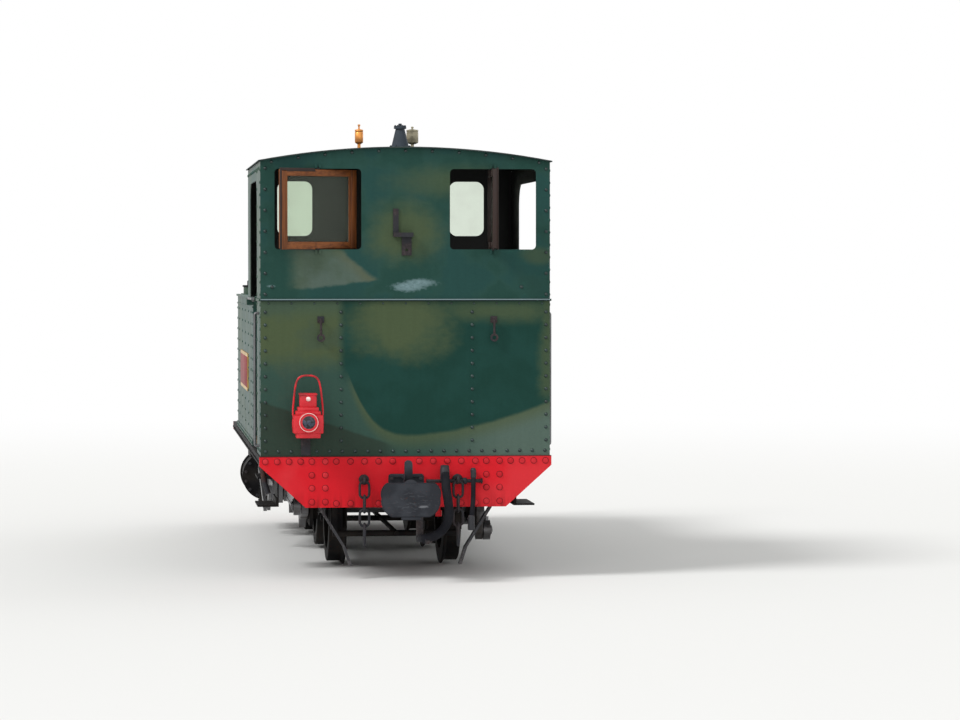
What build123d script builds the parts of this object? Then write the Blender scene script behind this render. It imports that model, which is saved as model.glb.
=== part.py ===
from build123d import *
import math
import os

os.makedirs("parts", exist_ok=True)

# A narrow-gauge six-coupled side-tank steam locomotive with outside frames.
# Millimetres. +X is forward, +Y the left side, +Z up. z = 0 is the floor
# under the wheel flanges, and heights above the rail start at rail_z.

# Track, wheels and axles
gauge = 762
tread_diameter = 838
flange_depth = 25
flange_thickness = 25
tyre_width = 127
rim_depth = 88
wheel_back_inset = 31
spoke_count = 10
spoke_width = 50
spoke_thickness = 44
hub_radius = 118
hub_overhang = 8
axle_radius = 70
axle_pitch = 1524
middle_axle_x = 38
running_fit = 0.1
seat_gap = 0.3

rail_z = flange_depth
axle_z = rail_z + tread_diameter / 2
wheel_back_y = gauge / 2 - wheel_back_inset
wheel_face_y = wheel_back_y + tyre_width
flange_radius = tread_diameter / 2 + flange_depth
axles = {
    "rear": middle_axle_x - axle_pitch,
    "middle": middle_axle_x,
    "front": middle_axle_x + axle_pitch,
}

# Main frames, beams and running plate
length_over_beams = 5664
beam_width = 2032
beam_thickness = 28
beam_bottom_above_rail = 479
beam_end_height = 66
beam_bottom_half = 697
frame_gap = 1164
frame_thickness = 25
frame_bottom_above_rail = 505
horn_bottom_above_rail = 268
horn_half_width = 190
running_plate_above_rail = 833
running_plate_thickness = 12
valance_height = 62
valance_thickness = 8

beam_x = length_over_beams / 2
beam_inner_x = beam_x - beam_thickness
half_beam = beam_width / 2
beam_bottom_z = rail_z + beam_bottom_above_rail
frame_inner_y = frame_gap / 2
frame_outer_y = frame_inner_y + frame_thickness
frame_bottom_z = rail_z + frame_bottom_above_rail
horn_bottom_z = rail_z + horn_bottom_above_rail
plate_top_z = rail_z + running_plate_above_rail
plate_bottom_z = plate_top_z - running_plate_thickness

# Axleboxes and springs
axlebox_width = 190
axlebox_low = 108
axlebox_high = 150
axlebox_inner_y = 545
axlebox_outer_y = 613
spring_width = 56
spring_inner_y = 519
spring_half_length = 385
spring_camber = 46
leaf_thickness = 11
leaf_count = 8
leaf_step = 42
spring_seat_z = axle_z + 212
spring_outer_y = spring_inner_y + spring_width

# Cranks and rods, measured outwards from the centreline
crank_throw = 203
crank_inner_y = 620
crank_thickness = 48
crank_hub_radius = 116
crank_boss_radius = 70
counterweight_radius = 236
crank_pin_radius = 38
coupling_rod_y = 675
coupling_rod_boss_width = 50
coupling_rod_boss_radius = 72
coupling_rod_thickness = 32
coupling_rod_height = 92
flute_depth = 7
flute_height = 50
pin_collar_thickness = 4
connecting_rod_length = 1440
cylinder_centre_y = 775
big_end_width = 80
small_end_width = 34
return_crank_radius = 115
return_crank_thickness = 24
eccentric_rod_thickness = 26

crank_outer_y = crank_inner_y + crank_thickness
coupling_rod_outer_y = coupling_rod_y + coupling_rod_boss_width
collar_y = coupling_rod_outer_y + 1.5
pin_end_y = collar_y + pin_collar_thickness
big_end_inner_y = cylinder_centre_y - big_end_width / 2
big_end_outer_y = cylinder_centre_y + big_end_width / 2
# Where each side's crank points: the left one to the rear, the right one down.
cranks = {
    1: (-crank_throw, 0),
    -1: (0, -crank_throw),
}

# Cylinders and slide bars
cylinder_rear_x = 1852
cylinder_length = 596
cylinder_radius = 180
cylinder_flange_radius = 195
cylinder_flange_thickness = 28
gland_radius = 38
gland_length = 22
valve_chest_inset = 111
valve_chest_y = (640, half_beam - valve_chest_inset)
valve_chest_z = (600, 838)
piston_rod_radius = 26
slide_bar_gap = 230
slide_bar_height = 38
slide_bar_width = 56
crosshead_length = 220
gudgeon_radius = 28
motion_bracket_x = (1135, 1160)

cylinder_front_x = cylinder_rear_x + cylinder_length

# Cab
cab_length = 2350
cab_inset = 10
cab_width = beam_width - 2 * cab_inset
cab_setback = 12
sheet_thickness = 8
roof_crown_above_rail = 2977
roof_side_above_rail = 2884
roof_overhang_side = 14
roof_overhang_end = 14
waist_above_rail = 1923
moulding_depth = 12
moulding_height = 15
doorway_from_rear = (640, 1520)
opening_front_from_rear = 1900
doorway_top_above_rail = 2758
doorway_corner = 170
doorway_bar_radius = 8
doorway_bar_drop = 8
doorway_bar_offset = 28
doorway_bar_overlap = 28
handrail_radius = 10
handrail_offset = 30
handrail_from_rear = 250
handrail_above_rail = (898, 1822)
floor_rise = 47
floor_wheel_clearance = 17
floor_thickness = 26
rear_window_width = 600
rear_window_height = 557
rear_window_edge = 98
rear_window_sill_above_rail = 2266
rear_window_corner = 28
front_window_from_side = (485, 221)
front_window_above_rail = (2380, 2792)
front_window_corner = 60

half_cab = cab_width / 2
cab_rear_x = -beam_x + cab_setback
cab_front_x = -beam_x + cab_length
waist_z = rail_z + waist_above_rail
doorway_x = (-beam_x + doorway_from_rear[0], -beam_x + doorway_from_rear[1])
opening_front_x = -beam_x + opening_front_from_rear
doorway_top_z = rail_z + doorway_top_above_rail
floor_low = max(plate_top_z + floor_rise, axle_z + flange_radius + floor_wheel_clearance)
floor_z = (floor_low, floor_low + floor_thickness)
roof_crown_z = rail_z + roof_crown_above_rail
roof_sagitta = roof_crown_above_rail - roof_side_above_rail
roof_radius = (half_cab**2 + roof_sagitta**2) / (2 * roof_sagitta)
roof_centre_z = roof_crown_z - roof_radius
sheet_top_radius = roof_radius - sheet_thickness - seat_gap
rear_window_centre_y = half_cab - rear_window_edge - rear_window_width / 2
rear_window_z = (
    rail_z + rear_window_sill_above_rail,
    rail_z + rear_window_sill_above_rail + rear_window_height,
)
front_window_y = tuple(half_cab - distance for distance in front_window_from_side)
front_window_z = tuple(rail_z + height for height in front_window_above_rail)

# Side tanks and coal bunker
tank_length = 3412
tank_inset = 16
tank_half_width = half_beam - tank_inset
tank_inner_y = 540
tank_corner = 45
tank_band_drop = 67
tank_band_depth = 6
tank_angle_height = 42
tank_angle_depth = 8
filler_from_front = 532
filler_from_side = 180
filler_radius = 150
filler_wall = 12
filler_height = 60
filler_depth = 300
lid_hinge_gap = 26
lid_pin_radius = 6
lid_thickness = 14
lid_overlap = 8
lid_knob_radius = 60
lid_handle_offset = 110
lid_handle_half = 60
lid_handle_rise = 30
lid_handle_radius = 8
nameplate_from_tank_rear = 930
nameplate_length = 1500
nameplate_height = 286
nameplate_above_plate = 367
nameplate_depth = 10
nameplate_corner = 30
bunker_sill_z = 1500
shovel_hole = (520, 400)

tank_rear_x = doorway_x[1]
tank_front_x = tank_rear_x + tank_length
filler_x = tank_front_x - filler_from_front
filler_y = tank_half_width - filler_from_side
lid_z = waist_z + filler_height + seat_gap
lid_hinge_y = filler_y - filler_radius - lid_hinge_gap
lid_hinge_z = lid_z + lid_thickness / 2

# Boiler, smokebox and their mountings
boiler_centre_above_rail = 1480
boiler_radius = 500
boiler_band_width = 50
boiler_band_depth = 4
backhead_radius = 480
backhead_from_rear = 1932
firebox_half_width = 320
firebox_length = 1310
firebox_bottom_z = 590
smokebox_radius = 520
smokebox_rear_x = 1850
smokebox_length = 650
smokebox_wall = 12
smokebox_door_radius = 430
smokebox_mouth_radius = 400
door_dish = 46
chimney_x = 2175
chimney_top_above_rail = 3095
chimney_radius = 150
chimney_bore = 118
dome_x = 1000
dome_radius = 262
dome_top_above_rail = 2600
dome_shoulder = 110
dome_crown = 330
safety_valve_x = -230
safety_valve_spread = 150

boiler_z = rail_z + boiler_centre_above_rail
backhead_x = -beam_x + backhead_from_rear
smokebox_front_x = smokebox_rear_x + smokebox_length
chimney_top_z = rail_z + chimney_top_above_rail
dome_top_z = rail_z + dome_top_above_rail

# Centre buffers, side chains, guard irons and hoses at the beams
buffer_width = 403
buffer_height = 234
buffer_centre_above_rail = 555
buffer_top_width = 330
buffer_foot_width = 256
buffer_widest_rise = 12
buffer_boss_width = 104
buffer_boss_height = 22
buffer_plate_thickness = 34
buffer_reach = 430
shank_width = 150
shank_height = 130
flange_plate_width = 246
flange_plate_top_above_rail = 710
hook_width = 54
hook_tip_above_rail = 816
chain_bar = 18
chain_link_length = 134
chain_link_width = 84
chain_end_link_length = 172
chain_link_gap = 0.6
chain_eye_above_rail = 672
chain_eye_ys = (293, -357)
beam_pipe_above_rail = 660
beam_pipe_y = (-520, -140)
guard_iron_thickness = 20
guard_iron_width = 76
guard_iron_bottom_above_rail = 75
hose_radius = 32
heating_hose_radius = 17
heating_end_radius = 24

buffer_z = rail_z + buffer_centre_above_rail


def edges_through(place, start, steps):
    """Edges through flat points. A step is a point, or (through, end) for an arc."""
    edges = []
    here = start
    for step in steps + ((start,) if steps[-1] != start else ()):
        if isinstance(step[0], tuple):
            through, end = step
            edges.append(Edge.make_three_point_arc(place(here), place(through), place(end)))
        elif math.dist(here, step) > 1e-6:
            end = step
            edges.append(Edge.make_line(place(here), place(end)))
        here = end
    return edges


def plate(axis, span, start, *steps):
    """A flat outline seen along an axis, as thick as the span along that axis."""
    low, high = span
    place = {
        "x": lambda p: Vector(low, p[0], p[1]),
        "y": lambda p: Vector(p[0], low, p[1]),
        "z": lambda p: Vector(p[0], p[1], low),
    }[axis]
    direction = {"x": (1, 0, 0), "y": (0, 1, 0), "z": (0, 0, 1)}[axis]
    face = Face(Wire(edges_through(place, start, steps)))
    return extrude(face, high - low, dir=direction)


def turned(axis, start, *steps):
    """A solid turned about an axis through the origin, from (radius, along) points."""
    place = {
        "x": lambda p: Vector(p[1], p[0], 0),
        "y": lambda p: Vector(p[0], p[1], 0),
        "z": lambda p: Vector(p[0], 0, p[1]),
    }[axis]
    spin = {"x": Axis.X, "y": Axis.Y, "z": Axis.Z}[axis]
    return revolve(Face(Wire(edges_through(place, start, steps))), spin)


def block(x, y, z):
    """A box between two places along each axis."""
    return Pos(sum(x) / 2, sum(y) / 2, sum(z) / 2) * Box(
        abs(x[1] - x[0]), abs(y[1] - y[0]), abs(z[1] - z[0])
    )


def bar_x(x, y, z, radius):
    """A round bar along X."""
    return Pos(sum(x) / 2, y, z) * Rot(0, 90, 0) * Cylinder(radius, abs(x[1] - x[0]))


def bar_y(x, y, z, radius):
    """A round bar along Y."""
    return Pos(x, sum(y) / 2, z) * Rot(90, 0, 0) * Cylinder(radius, abs(y[1] - y[0]))


def bar_z(x, y, z, radius):
    """A round bar along Z."""
    return Pos(x, y, sum(z) / 2) * Cylinder(radius, abs(z[1] - z[0]))


def rounded(axis, span, across, up, corner):
    """A plate with two widths and four equal rounded corners, seen along an axis."""
    (a, b), (c, d) = across, up
    k = corner * (1 - math.sqrt(0.5))
    return plate(
        axis, span,
        (a + corner, c), (b - corner, c), ((b - k, c + k), (b, c + corner)),
        (b, d - corner), ((b - k, d - k), (b - corner, d)),
        (a + corner, d), ((a + k, d - k), (a, d - corner)),
        (a, c + corner), ((a + k, c + k), (a + corner, c)),
    )


def link_bar(axis, span, start, end, half_widths):
    """A tapered flat bar between two points seen along an axis."""
    (ax, ay), (bx, by) = start, end
    length = math.dist(start, end)
    nx = -(by - ay) / length
    ny = (bx - ax) / length
    wa, wb = half_widths
    return plate(
        axis, span,
        (ax + nx * wa, ay + ny * wa), (bx + nx * wb, by + ny * wb),
        (bx - nx * wb, by - ny * wb), (ax - nx * wa, ay - ny * wa),
    )


def tube(points, radius):
    """A round pipe along straight runs joined by arcs as large as the runs allow."""
    places = [Vector(*point) for point in points]
    runs = [b - a for a, b in zip(places, places[1:])]
    radii = []
    for before, after in zip(runs, runs[1:]):
        turn = math.radians(before.get_angle(after))
        radii.append(0.45 * min(before.length, after.length) / math.tan(turn / 2))
    path = FilletPolyline(*points, radius=radii)
    section = Plane(origin=points[0], z_dir=Vector(*points[1]) - Vector(*points[0]))
    return sweep(section * Circle(radius), path=path)


def other_side(piece):
    """The same piece on the other side of the centreline."""
    return mirror(piece, about=Plane.XZ)


def crown_arcs(radius, top, shoulder, crown):
    """Steps from a turned wall up over its shoulder arc and crown arc to the axis."""
    rise = math.sqrt((crown - shoulder) ** 2 - (radius - shoulder) ** 2)
    shoulder_z = top - crown + rise
    meet = math.atan2(rise, radius - shoulder)

    def on_shoulder(turn):
        return (radius - shoulder + shoulder * math.cos(turn), shoulder_z + shoulder * math.sin(turn))

    def on_crown(turn):
        return (crown * math.cos(turn), top - crown + crown * math.sin(turn))

    return (
        (radius, shoulder_z),
        (on_shoulder(meet / 2), on_shoulder(meet)),
        (on_crown((meet + math.pi / 2) / 2), (0, top)),
    )


def on_side(side, piece):
    """A piece made on the left side, put on the side asked for."""
    return piece if side > 0 else other_side(piece)


def save(node, *pieces):
    """Write one node's solids to its file."""
    solids = [solid for piece in pieces for solid in piece.solids()]
    export_step(Compound(solids), f"parts/{node}.step")


def roof_arc(radius, half_width):
    """The left end, crown and right end of an arc concentric with the roof."""
    side_z = roof_centre_z + math.sqrt(radius**2 - half_width**2)
    return (-half_width, side_z), (0, roof_centre_z + radius), (half_width, side_z)


# Wheels

def wheel():
    """A spoked wheel about Y, with its flanged back at y = 0."""
    tread = tread_diameter / 2
    bore = axle_radius + running_fit
    rim = turned(
        "y",
        (tread - rim_depth, 0), (flange_radius - 9, 0), ((flange_radius - 2, 3), (flange_radius, 10)),
        ((flange_radius - 5, 17), (tread + 6, flange_thickness)), (tread, flange_thickness + 8),
        (tread, tyre_width - 5), (tread - 5, tyre_width), (tread - rim_depth, tyre_width),
    )
    hub = bar_y(0, (-hub_overhang, tyre_width + hub_overhang), 0, hub_radius)
    middle = tyre_width / 2
    spoke = block(
        (hub_radius - 15, tread - rim_depth + 12),
        (middle - spoke_thickness / 2, middle + spoke_thickness / 2),
        (-spoke_width / 2, spoke_width / 2),
    )
    body = rim + hub
    for count in range(spoke_count):
        body += Rot(0, 360 * count / spoke_count, 0) * spoke
    return body - bar_y(0, (-hub_overhang - 1, tyre_width + hub_overhang + 1), 0, bore)


def crank(side):
    """One fly crank with its counterweight and pin, about the axle at the origin."""
    px, pz = cranks[side]
    angle = math.atan2(pz, px)
    thick = (crank_inner_y, crank_outer_y)
    web = link_bar("y", thick, (0, 0), (px, pz), (crank_hub_radius - 8, crank_boss_radius))
    body = web + bar_y(0, thick, 0, crank_hub_radius) + bar_y(px, thick, pz, crank_boss_radius)
    spread = math.radians(52)
    back = angle + math.pi

    def rim_point(turn):
        return (
            counterweight_radius * math.cos(back + turn),
            counterweight_radius * math.sin(back + turn),
        )

    body += plate(
        "y", thick, (0, 0), rim_point(-spread), (rim_point(0), rim_point(spread))
    )
    body += bar_y(px, (crank_outer_y - 1, pin_end_y), pz, crank_pin_radius)
    body += bar_y(px, (collar_y, pin_end_y), pz, crank_pin_radius + 10)
    return body


one_wheel = wheel()
for name, x in axles.items():
    left_wheel = Pos(x, wheel_back_y, axle_z) * one_wheel
    save(f"{name}_wheels", left_wheel, other_side(left_wheel))
    shaft = bar_y(0, (-crank_inner_y - 1, crank_inner_y + 1), 0, axle_radius)
    both = shaft + crank(1) + other_side(crank(-1))
    save(f"{name}_axle", Pos(x, 0, axle_z) * both)


# Coupling rods

def coupling_rod(side):
    """The rod that joins one side's three crank pins, with an oil cup over each."""
    px, pz = cranks[side]
    z = axle_z + pz
    wide = (coupling_rod_y, coupling_rod_outer_y)
    middle = sum(wide) / 2
    thin = (middle - coupling_rod_thickness / 2, middle + coupling_rod_thickness / 2)
    first = axles["rear"] + px
    last = axles["front"] + px
    half = coupling_rod_height / 2
    body = block((first, last), thin, (z - half, z + half))
    for x in axles.values():
        body += bar_y(x + px, wide, z, coupling_rod_boss_radius)
        body += bar_z(x + px, middle, (z + coupling_rod_boss_radius - 6, z + coupling_rod_boss_radius + 26), 17)
    for start in (axles["rear"], axles["middle"]):
        flute_inset = coupling_rod_boss_radius + 50
        bay = (start + px + flute_inset, start + px + axle_pitch - flute_inset)
        for inner, outer in ((thin[0] - 1, thin[0] + flute_depth), (thin[1] - flute_depth, thin[1] + 1)):
            body -= rounded(
                "y", (inner, outer), bay, (z - flute_height / 2, z + flute_height / 2), flute_height / 2 - 1
            )
    for x in axles.values():
        body -= bar_y(x + px, (wide[0] - 1, wide[1] + 1), z, crank_pin_radius + running_fit)
    return on_side(side, body)


save("left_coupling_rod", coupling_rod(1))
save("right_coupling_rod", coupling_rod(-1))


# Main frames with a window in each horn for the axlebox

def frame_plate():
    """The left frame plate."""
    end_x = beam_inner_x - seat_gap
    top = plate_bottom_z - seat_gap
    rise = beam_bottom_z + 20
    outline = [(-end_x, top), (-end_x, rise), (-end_x + 500, rise), (-end_x + 560, frame_bottom_z)]
    for x in axles.values():
        outline += [
            (x - horn_half_width - 60, frame_bottom_z), (x - horn_half_width + 20, horn_bottom_z),
            (x + horn_half_width - 20, horn_bottom_z), (x + horn_half_width + 60, frame_bottom_z),
        ]
    outline += [(end_x - 560, frame_bottom_z), (end_x - 500, rise), (end_x, rise), (end_x, top)]
    body = plate("y", (frame_inner_y, frame_outer_y), *outline)
    half = axlebox_width / 2 + seat_gap
    for x in axles.values():
        body -= block(
            (x - half, x + half), (frame_inner_y - 1, frame_outer_y + 1),
            (axle_z - axlebox_low - seat_gap, axle_z + axlebox_high + 30),
        )
    return body


left_frame = frame_plate()
save("frame_plates", left_frame, other_side(left_frame))

# Frame stretchers: x range, z range and half width of each cross plate
stretcher_thickness = 20
stretcher_z = (frame_bottom_z, plate_bottom_z - seat_gap)
stretcher_rear_faces = [
    axles["rear"] - flange_radius - 400,
    axles["rear"] + flange_radius + 62,
    axles["middle"] + flange_radius + 308,
    axles["front"] + flange_radius + 74,
    smokebox_front_x - 120,
]
stretchers = [((x, x + stretcher_thickness), stretcher_z) for x in stretcher_rear_faces]
stretchers.append((
    (stretcher_rear_faces[3] + stretcher_thickness + seat_gap, stretcher_rear_faces[4] - seat_gap),
    (plate_bottom_z - 30, stretcher_z[1]),
))
stretcher_half = frame_inner_y - seat_gap
save("frame_stretchers", *[
    block(x, (-stretcher_half, stretcher_half), z) for x, z in stretchers
])

# Axleboxes in the horns, each with the pillar that its spring stands on
axleboxes = []
for x in axles.values():
    half = axlebox_width / 2
    top = axle_z + axlebox_high
    body = block((x - half, x + half), (axlebox_inner_y, axlebox_outer_y), (axle_z - axlebox_low, top))
    body += block((x - 30, x + 30), (axlebox_inner_y, spring_outer_y), (top - 1, spring_seat_z - seat_gap))
    body -= bar_y(x, (axlebox_inner_y - 1, axlebox_outer_y + 1), axle_z, axle_radius + running_fit)
    axleboxes += [body, other_side(body)]
save("axleboxes", *axleboxes)


# Leaf springs above the axleboxes

def leaf_spring(x):
    """A left-hand leaf spring with its buckle and the hangers that reach the frame."""
    width = (spring_inner_y, spring_outer_y)
    buckle_top = spring_seat_z + leaf_count * leaf_thickness + 16
    body = block((x - 45, x + 45), (width[0] - 6, width[1] + 6), (spring_seat_z, buckle_top))
    for count in range(leaf_count):
        half = spring_half_length - leaf_step * (leaf_count - 1 - count)
        low = spring_seat_z + 8 + leaf_thickness * count
        rise = spring_camber * (half / spring_half_length) ** 2
        high = low + leaf_thickness + 0.01
        body += plate(
            "y", width,
            (x - half, low + rise), ((x, low), (x + half, low + rise)),
            (x + half, high + rise), ((x, high), (x - half, high + rise)),
        )
    top = spring_seat_z + 8 + leaf_thickness * leaf_count + spring_camber
    for end in (-1, 1):
        hanger_x = x + end * (spring_half_length - 24)
        body += block((hanger_x - 16, hanger_x + 16), width, (top - 70, top + 26))
        pad_y = (width[1] - 10, frame_inner_y - seat_gap)
        body += block((hanger_x - 24, hanger_x + 24), pad_y, (top - 4, top + 26))
    return body


springs = []
for x in axles.values():
    spring = leaf_spring(x)
    springs += [spring, other_side(spring)]
save("leaf_springs", *springs)

# Brake gear: a block behind each wheel, its hanger, cross beams and a pull rod
brake_z = axle_z - 30
block_gap = 6
pull_z = rail_z + 235
brake_gear = bar_x((axles["rear"] - 560, axles["front"] - 470), 0, pull_z, 17)
for x in axles.values():
    face = tread_diameter / 2 + block_gap
    shoe_y = (wheel_back_y + flange_thickness + 12, wheel_face_y - 6)
    shoe = block((x - face - 62, x - 330), shoe_y, (brake_z - 130, brake_z + 130))
    shoe -= bar_y(x, (0, frame_inner_y), axle_z, face)
    hanger_x = x - face - 62
    hanger_y = (wheel_face_y - 52, wheel_face_y - 18)
    hanger = block((hanger_x - 26, hanger_x + 1), hanger_y, (pull_z - 10, axle_z + 330))
    pivot = bar_y(hanger_x - 12, (wheel_face_y - 60, frame_inner_y - seat_gap), axle_z + 305, 20)
    brake_gear += shoe + hanger + pivot
    brake_gear += other_side(shoe + hanger + pivot)
    brake_gear += bar_y(hanger_x - 12, (-wheel_face_y + 20, wheel_face_y - 20), pull_z, 22)
save("brake_gear", brake_gear)


# Buffer beams

def buffer_beam():
    """A beam at the front: plate, frame angles behind it and a socket for the shank."""
    body = plate(
        "x", (beam_inner_x, beam_x),
        (-half_beam, plate_top_z), (-half_beam, plate_top_z - beam_end_height),
        (-beam_bottom_half, beam_bottom_z), (beam_bottom_half, beam_bottom_z),
        (half_beam, plate_top_z - beam_end_height), (half_beam, plate_top_z),
    )
    angle_x = (beam_inner_x - 76, beam_inner_x + 1)
    angle_z = (beam_bottom_z + 26, plate_bottom_z - 4)
    for low in (frame_outer_y + seat_gap, frame_inner_y - seat_gap - 10):
        angle = block(angle_x, (low, low + 10), angle_z)
        body += angle + other_side(angle)
    plug_x = (beam_inner_x + beam_x) / 2
    body += bar_z(plug_x, -228, (beam_bottom_z - 44, beam_bottom_z + 1), 13)
    body += bar_z(plug_x, -228, (beam_bottom_z - 66, beam_bottom_z - 24), 23)
    return body


front_beam = buffer_beam()
save("front_buffer_beam", front_beam)
save("rear_buffer_beam", mirror(front_beam, about=Plane.YZ))


# Centre couplers with drawhook

def buffer_outline(grow):
    """Steps round the buffer head, wider above than below, moved outwards by a distance."""
    half = buffer_width / 2 + grow
    top = buffer_top_width / 2
    foot = buffer_foot_width / 2
    low = buffer_z - buffer_height / 2 - grow
    high = buffer_z + buffer_height / 2 + grow
    widest = buffer_z + buffer_widest_rise
    upper = (top + 0.74 * (half - top), high - 0.26 * (high - widest))
    lower = (foot + 0.76 * (half - foot), low + 0.36 * (widest - low))
    return (
        (-foot, low), (foot, low), (lower, (half, widest)), (upper, (top, high)), (-top, high),
        ((-upper[0], upper[1]), (-half, widest)), ((-lower[0], lower[1]), (-foot, low)),
    )


def coupler():
    """The front centre buffer: head, shank, flange plate and hook above."""
    face = beam_x + buffer_reach
    back = face - buffer_plate_thickness
    high = buffer_z + buffer_height / 2
    boss = buffer_boss_width / 2
    rim = 6
    head = plate("x", (back, face - rim), *buffer_outline(0)) + plate("x", (back, face), *buffer_outline(-rim))
    head += plate("x", (back - 42, back + 1), *buffer_outline(-34))
    crest = (0, high + buffer_boss_height)
    head += plate("x", (back, face - rim), (-boss, high - 10), (crest, (boss, high - 10)))
    shank = block(
        (beam_x + seat_gap, back), (-shank_width / 2, shank_width / 2),
        (buffer_z - shank_height / 2, buffer_z + shank_height / 2),
    )
    flange_x = (beam_x + seat_gap, beam_x + 22)
    flange_top = rail_z + flange_plate_top_above_rail
    flange_half = flange_plate_width / 2
    flange_plate = rounded("x", flange_x, (-flange_half, flange_half), (beam_bottom_z - 20, flange_top), 18)
    tip = rail_z + hook_tip_above_rail
    foot = flange_top - 58
    hook = plate(
        "y", (-hook_width / 2, hook_width / 2),
        (beam_x + 20, foot), (beam_x + 130, foot), ((beam_x + 230, foot + 62), (beam_x + 204, tip)),
        (beam_x + 180, tip - 6), ((beam_x + 184, foot + 92), (beam_x + 128, flange_top - 4)),
        (beam_x + 20, flange_top - 4),
    )
    half_hook = hook_width / 2
    hook &= rounded("x", (beam_x, beam_x + 260), (-half_hook, half_hook), (foot - half_hook, tip), half_hook - 1)
    return head + shank + flange_plate + hook


front_coupler = coupler()
save("couplers", front_coupler, mirror(front_coupler, about=Plane.YZ))


# Side chains that hang at each side of the couplers

def chain_link(turn, length):
    """An oval link hung along Z from its top inner edge at the origin."""
    outer = chain_link_width / 2
    long_half = length / 2
    ring = rounded("y", (-chain_bar / 2, chain_bar / 2), (-outer, outer), (-long_half, long_half), outer - 0.5)
    ring -= rounded(
        "y", (-chain_bar, chain_bar), (-outer + chain_bar, outer - chain_bar),
        (-long_half + chain_bar, long_half - chain_bar), outer - chain_bar - 0.5,
    )
    ring = chamfer(ring.edges(), chain_bar * 0.28)
    return Rot(0, 0, turn) * Pos(0, 0, -long_half + chain_bar) * ring


def side_chain(y):
    """An eye on the front beam and the links that hang from it."""
    eye_z = rail_z + chain_eye_above_rail
    reach = beam_x + 62
    eye_bore = 18
    eye = bar_x((beam_x + seat_gap, reach - 28), y, eye_z, 18)
    eye += bar_x((beam_x + seat_gap, beam_x + 14), y, eye_z, 40)
    eye += bar_y(reach, (y - 12, y + 12), eye_z, 38) - bar_y(reach, (y - 20, y + 20), eye_z, eye_bore)
    if y < 0:
        pipe_z = rail_z + beam_pipe_above_rail
        low, high = beam_pipe_y
        eye += bar_y(beam_x + 24, (low, high), pipe_z, 13)
        eye += bar_y(beam_x + 24, (y - 64, y - 36), pipe_z, 23)
        eye += bar_y(beam_x + 24, (low - 12, low + 1), pipe_z, 20)
        eye += bar_x((beam_x + seat_gap, beam_x + 24), low + 14, pipe_z, 9)
    links = [eye]
    pitch = chain_link_length - 2 * chain_bar - chain_link_gap
    top = eye_z - eye_bore - chain_link_gap
    for count, length in enumerate((chain_link_length,) * 3 + (chain_end_link_length,)):
        turn = 90 if count % 2 == 0 else 0
        links.append(Pos(reach, y, top - pitch * count) * chain_link(turn, length))
    return links


chains = []
for y in chain_eye_ys:
    for link in side_chain(y):
        chains += [link, mirror(link, about=Plane.YZ)]
save("side_chains", *chains)

# Guard irons ahead of the end wheels, bent in over the rails
guard_bottom_z = rail_z + guard_iron_bottom_above_rail
guard_top_z = beam_bottom_z + 20 - seat_gap
guard_path = [(594, guard_top_z), (594, 496), (424, 222), (384, guard_bottom_z)]
guard_half = guard_iron_thickness / 2
guards = []
for end in (-1, 1):
    span = sorted((end * (beam_inner_x - 30), end * (beam_inner_x - 30 - guard_iron_width)))
    inner = [(y - guard_half, z) for y, z in guard_path]
    outer = [(y + guard_half, z) for y, z in reversed(guard_path)]
    iron = plate("x", span, *(inner + outer))
    guards += [iron, other_side(iron)]
save("guard_irons", *guards)

# Running plate, open between the frames from the cab to the smokebox, with valances
plate_end = beam_inner_x - seat_gap
running_plate = block((-plate_end, plate_end), (-half_beam, half_beam), (plate_bottom_z, plate_top_z))
running_plate -= block(
    (stretcher_rear_faces[0] + 30, smokebox_rear_x - 40),
    (-frame_inner_y + 20, frame_inner_y - 20), (plate_bottom_z - 1, plate_top_z + 1),
)
valance = block(
    (-plate_end, plate_end), (half_beam - valance_thickness, half_beam),
    (plate_top_z - valance_height, plate_bottom_z + 1),
)
running_plate += valance + other_side(valance)
save("running_plate", running_plate)

# Cab steps under each doorway
step_inset = 190
step_heights_above_rail = (430, 630)
step_thickness = 12
step_back_height = 60
step_tread_inset = 20
step_back_inset = 171
step_x = (doorway_x[0] + step_inset, doorway_x[1] - step_inset)
step_back_y = half_beam - step_back_inset
step_zs = [rail_z + height for height in step_heights_above_rail]
steps = []
for side in (1, -1):
    step = block(step_x, (step_back_y, step_back_y + 10), (step_zs[0], plate_bottom_z - seat_gap))
    for z in step_zs:
        step += block(step_x, (step_back_y, half_beam - step_tread_inset), (z, z + step_thickness))
        step += block(step_x, (step_back_y, step_back_y + 20), (z, z + step_back_height))
    steps.append(on_side(side, step))
save("cab_steps", *steps)


# Cab sheets

def end_sheet(x, half, bottom):
    """A cab end sheet under the roof's arc."""
    left, crown, right = roof_arc(sheet_top_radius, half)
    return plate("x", x, (-half, bottom), left, (crown, right), (half, bottom))


rear_x = (cab_rear_x, cab_rear_x + sheet_thickness)
rear_sheet = end_sheet(rear_x, half_cab, plate_top_z + seat_gap)
for side in (1, -1):
    centre = side * rear_window_centre_y
    across = (centre - rear_window_width / 2, centre + rear_window_width / 2)
    rear_sheet -= rounded("x", (cab_rear_x - 5, cab_rear_x + 20), across, rear_window_z, rear_window_corner)
    for low in (rear_window_z[0] - 30, rear_window_z[1] + 6):
        for lug_y in (centre - 20, centre + 8):
            rear_sheet += block((cab_rear_x - 16, cab_rear_x + 1), (lug_y, lug_y + 12), (low, low + 24))
rear_sheet += block(
    (cab_rear_x - moulding_depth, cab_rear_x + 1), (-half_cab, half_cab), (waist_z - moulding_height, waist_z)
)
save("cab_rear_sheet", rear_sheet)

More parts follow.
